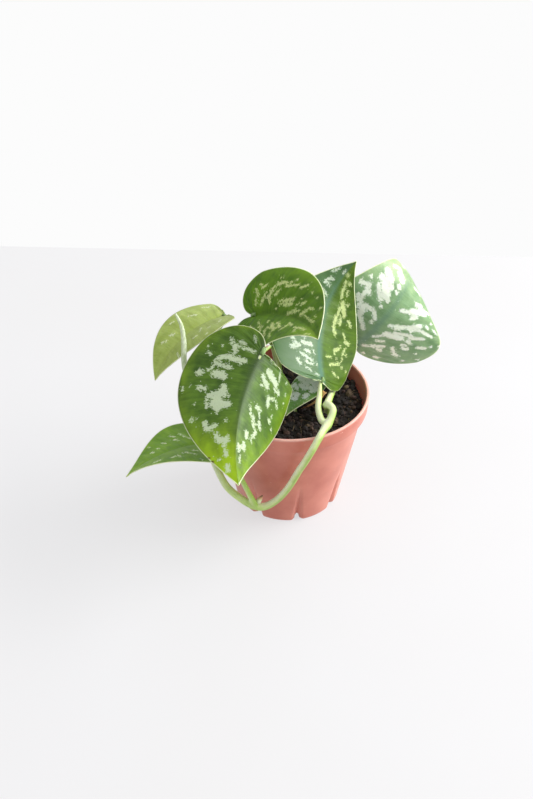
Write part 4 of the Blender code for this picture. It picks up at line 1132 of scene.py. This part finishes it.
def grown_together(parts):
    """Merge closed bmeshes into one skin with soft junctions."""
    whole = bmesh.new()
    for part in parts:
        mesh = bpy.data.meshes.new("part")
        part.to_mesh(mesh)
        part.free()
        whole.from_mesh(mesh)
    ob = scratch(whole)
    mod = ob.modifiers.new("skin", "REMESH")
    mod.mode, mod.voxel_size = "VOXEL", 0.36
    soft = ob.modifiers.new("soft", "SMOOTH")
    soft.factor, soft.iterations = 0.5, 6
    out = baked(ob)
    bpy.data.objects.remove(ob, do_unlink=True)
    return out


print("vine runs through", len(VINE), "points")

# %% [markdown]
# Stems are pale, almost white-green. On top of that, light and shade are painted by the way each
# point faces: greener and darker where it faces down and to the right, paler where it faces the
# other way. That way is marked on the mesh from the direction each point faces. Noise makes
# the green patchy and breaks the gloss a little.

# %% Stem material
# the way that the painted shade on the stems faces
PAINTED_SHADE_SIDE = (0.80, -0.40, -0.45)


def mark_painted_shade(bm):
    """Keep on each point how far it faces down and to the right, for its painted shade."""
    layer = bm.verts.layers.float.new("painted_shade_side")
    bm.normal_update()
    way = Vector(PAINTED_SHADE_SIDE).normalized()
    for v in bm.verts:
        v[layer] = 0.5 + 0.5 * v.normal.dot(way)


stem_skin, tree, shader = new_material("stem skin", Roughness=0.38, IOR=1.45)
let_light_in(shader, 0.35, (0.9, 1.0, 0.4), 0.002)
place = add(tree, "ShaderNodeTexCoord").outputs["Object"]
facing = add(tree, "ShaderNodeAttribute", attribute_name="painted_shade_side").outputs["Fac"]
patchy = add(tree, "ShaderNodeTexNoise", {"Vector": place, "Scale": 130.0, "Detail": 4.0})
drift = add(tree, "ShaderNodeMath", {0: patchy.outputs["Fac"], 1: 0.5, 2: -0.25},
            operation="MULTIPLY_ADD")
# painted light and shade: darker green where the stem faces down and right, paler where it faces
# away
painted_shade = add(tree, "ShaderNodeMath", {0: facing, 1: drift.outputs[0]}, operation="ADD")
tone = shades(tree, painted_shade.outputs[0], (0.22, "#e9efcb"), (0.85, "#96b552"),
              ((0.55, "#c8d892"),))
tree.links.new(tone, shader.inputs["Base Color"])
skin_bump = add(tree, "ShaderNodeBump", {"Height": patchy.outputs["Fac"], "Strength": 0.12,
                                         "Distance": 0.0003})
tree.links.new(skin_bump.outputs[0], shader.inputs["Normal"])
print("finish:", stem_skin.name)

# %% [markdown]
# The vine and the four petioles that grow from it become one piece, since on the plant they
# are one. The three petioles that come up from the soil are pieces of their own. All of them
# run on under their midribs, which is where the ridge on the back of each blade comes from.

# %% Vine and petioles
VINE_STEPS, PETIOLE_STEPS = 300, 90
parts = [tube(VINE, VINE_STEPS)]
for name, points in BRANCHES.items():
    parts.append(tube(points + into_blade(name), PETIOLE_STEPS))
bm = grown_together(parts)
mark_painted_shade(bm)
finish("vine_stem", bm, [stem_skin], ("vine",))
for name, points in PETIOLES.items():
    bm = grown_together([tube(points + into_blade(name), PETIOLE_STEPS)])
    mark_painted_shade(bm)
    node = name.replace("leaf", "petiole")
    finish(node + "_stem", bm, [stem_skin], (node,))

# %% [markdown]
# The newest leaf is still rolled up like a scroll, whitish green, with its outer edge lying as
# a line along it. A grid is rolled round the run so that its end overlaps its start, and
# Solidify gives the thin sheet its thickness.

# %% Rolled new leaf
NEW_LEAF = ((-51.2, -13.0, 81.5, 1.5), (-52.5, -14.2, 84.6, 1.0), (-55.4, -15.6, 94, 1.4),
            (-56.2, -14.5, 102, 1.6), (-56, -11.5, 111, 1.5), (-57, -8, 119.5, 1.1),
            (-60, -6, 126, 0.55))
SCROLL_STEPS, SCROLL_TURNS, SCROLL_T = 60, 1.25, 0.16


def along(run, k):
    """A station of a run: its place and the direction that it heads in."""
    after, before = run[min(k + 1, len(run) - 1)], run[max(k - 1, 0)]
    return Vector(run[k][:3]), (Vector(after[:3]) - Vector(before[:3])).normalized()


run = spline(NEW_LEAF, SCROLL_STEPS + 1)
bm = bmesh.new()
bmesh.ops.create_grid(bm, x_segments=SCROLL_STEPS, y_segments=40, size=0.5)
for v in bm.verts:
    k = round((v.co.x + 0.5) * SCROLL_STEPS)
    turn_round = (v.co.y + 0.5) * SCROLL_TURNS * 2 * math.pi
    here, ahead = along(run, k)
    side_way = ahead.cross(Vector((0, 1, 0))).normalized()
    front = side_way.cross(ahead)
    start = math.radians(200 + 40 * k / SCROLL_STEPS)
    radius = run[k][3] * (0.82 + 0.24 * (v.co.y + 0.5))
    v.co = here + radius * (side_way * math.cos(start + turn_round)
                            + front * math.sin(start + turn_round))
bmesh.ops.recalc_face_normals(bm, faces=bm.faces)
bmesh.ops.solidify(bm, geom=bm.faces[:], thickness=SCROLL_T)
bmesh.ops.recalc_face_normals(bm, faces=bm.faces)
print("scroll volume", round(bm.calc_volume(signed=True), 1), "mm3")
young, tree, shader = new_material("rolled young leaf", Roughness=0.35, IOR=1.45)
place = add(tree, "ShaderNodeTexCoord").outputs["Object"]
stretched = add(tree, "ShaderNodeMapping", {"Vector": place, "Scale": (1400, 1400, 60)})
lines = add(tree, "ShaderNodeTexNoise", {"Vector": stretched.outputs[0], "Scale": 1.0,
                                         "Detail": 3.0})
tone = shades(tree, lines.outputs["Fac"], (0.3, "#b6c890"), (0.7, "#e6eed6"))
tree.links.new(tone, shader.inputs["Base Color"])
finish("new_leaf_scroll", bm, [young], ("new_leaf",))

# %% [markdown]
# The leaf that once grew at the first node has left its sheath behind, a withered strip that
# hangs from the node to the soil. It is papery, tan at the root and darker at the tip. A grid
# is laid along the run, cupped across and puckered at its edges, and gets its thickness last.

# %% Dry sheath
SHEATH_STEPS, SHEATH_HALF, SHEATH_T = 40, 1.25, 0.25
SHEATH = ((19.4, -13.6, 80.4), (17.2, -15.6, 78.2), (14.4, -16.4, 75.4), (10.6, -16.2, 72.4),
          (6.8, -14.2, 69.0))
run = spline([(*p, 0) for p in SHEATH], SHEATH_STEPS + 1)
bm = bmesh.new()
bmesh.ops.create_grid(bm, x_segments=SHEATH_STEPS, y_segments=8, size=0.5)
for v in bm.verts:
    k, b = round((v.co.x + 0.5) * SHEATH_STEPS), 2 * v.co.y
    here, ahead = along(run, k)
    side_way = ahead.cross(Vector((0, 0, 1))).normalized()
    taper = 1 - 0.72 * (k / SHEATH_STEPS) ** 2
    width = SHEATH_HALF * taper * (1 + 0.15 * math.sin(k * 0.9))
    cup = 0.55 * b * b + 0.12 * math.sin(k * 0.7 + 2 * b)
    v.co = here + side_way * b * width + Vector((0, 0, cup))
bmesh.ops.recalc_face_normals(bm, faces=bm.faces)
bmesh.ops.solidify(bm, geom=bm.faces[:], thickness=SHEATH_T)
papery, tree, shader = new_material("dry sheath tissue", Roughness=0.6)
let_light_in(shader, 0.2, (1.0, 0.6, 0.3), 0.001)
place = add(tree, "ShaderNodeTexCoord").outputs["Object"]
reach = add(tree, "ShaderNodeSeparateXYZ", {"Vector": place}).outputs["X"]
fade = add(tree, "ShaderNodeMapRange", {"Value": reach, "From Min": 0.007, "From Max": 0.019})
grain = add(tree, "ShaderNodeTexNoise", {"Vector": place, "Scale": 500.0, "Detail": 3.0})
drift = add(tree, "ShaderNodeMath", {0: grain.outputs["Fac"], 1: 0.5, 2: -0.25},
            operation="MULTIPLY_ADD")
shade = add(tree, "ShaderNodeMath", {0: fade.outputs[0], 1: drift.outputs[0]}, operation="ADD")
tone = shades(tree, shade.outputs[0], (0.0, "#6b4a30"), (0.8, "#dcab74"))
tree.links.new(tone, shader.inputs["Base Color"])
finish("dry_sheath_strip", bm, [papery], ("dry_sheath",))

# %% [markdown]
# A small brown scale covers the bud at the vine's lowest node. It is a cone, ringed with edges
# so that it can swell, bent a little and drawn out at the foot, where it grows from the node.

# %% Bud scale
SCALE_R, SCALE_TIP, SCALE_H, SCALE_ROOT = 1.5, 0.3, 3.6, 2.6
SCALE_AT, SCALE_LEAN = (-15.6, -40.4, 27.6), (0.35, -0.1, 1.0)
bm = bmesh.new()
bmesh.ops.create_cone(bm, cap_ends=True, segments=24, radius1=SCALE_R, radius2=SCALE_TIP,
                      depth=SCALE_H)
upright = [e for e in bm.edges if abs(e.verts[0].co.z - e.verts[1].co.z) > 1]
bmesh.ops.subdivide_edges(bm, edges=upright, cuts=5, use_grid_fill=True)
for v in bm.verts:
    high = v.co.z / SCALE_H + 0.5
    swell = 1 + 0.35 * math.sin(math.pi * high)
    root = SCALE_ROOT * (1 - high) ** 2
    v.co = Vector((v.co.x * swell * 0.95 + 0.5 * high * high, v.co.y * swell * 0.8,
                   v.co.z - root))
lean = Vector((0, 0, 1)).rotation_difference(Vector(SCALE_LEAN)).to_matrix()
bmesh.ops.rotate(bm, verts=bm.verts, cent=(0, 0, 0), matrix=lean)
bmesh.ops.translate(bm, verts=bm.verts, vec=SCALE_AT)
scale_skin, tree, shader = new_material("bud scale", Roughness=0.5)
place = add(tree, "ShaderNodeTexCoord").outputs["Object"]
height = add(tree, "ShaderNodeSeparateXYZ", {"Vector": place}).outputs["Z"]
browning = add(tree, "ShaderNodeMapRange", {"Value": height, "From Min": 0.0258,
                                            "From Max": 0.0294}).outputs[0]
tone = shades(tree, browning, (0.0, "#d8dfae"), (1.0, "#4a2a1c"), ((0.5, "#c69a6a"),))
tree.links.new(tone, shader.inputs["Base Color"])
finish("bud_scale_tip", bm, [scale_skin], ("bud_scale",))

# %% [markdown]
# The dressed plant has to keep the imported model's size, so both boxes are written down.

# %% Sizes and finish
bpy.context.view_layer.update()
new_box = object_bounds()
for word, box in (("packed", cad_box), ("dressed", new_box)):
    print(word, [round((b - a) * 1000, 1) for a, b in zip(*box)], "mm")
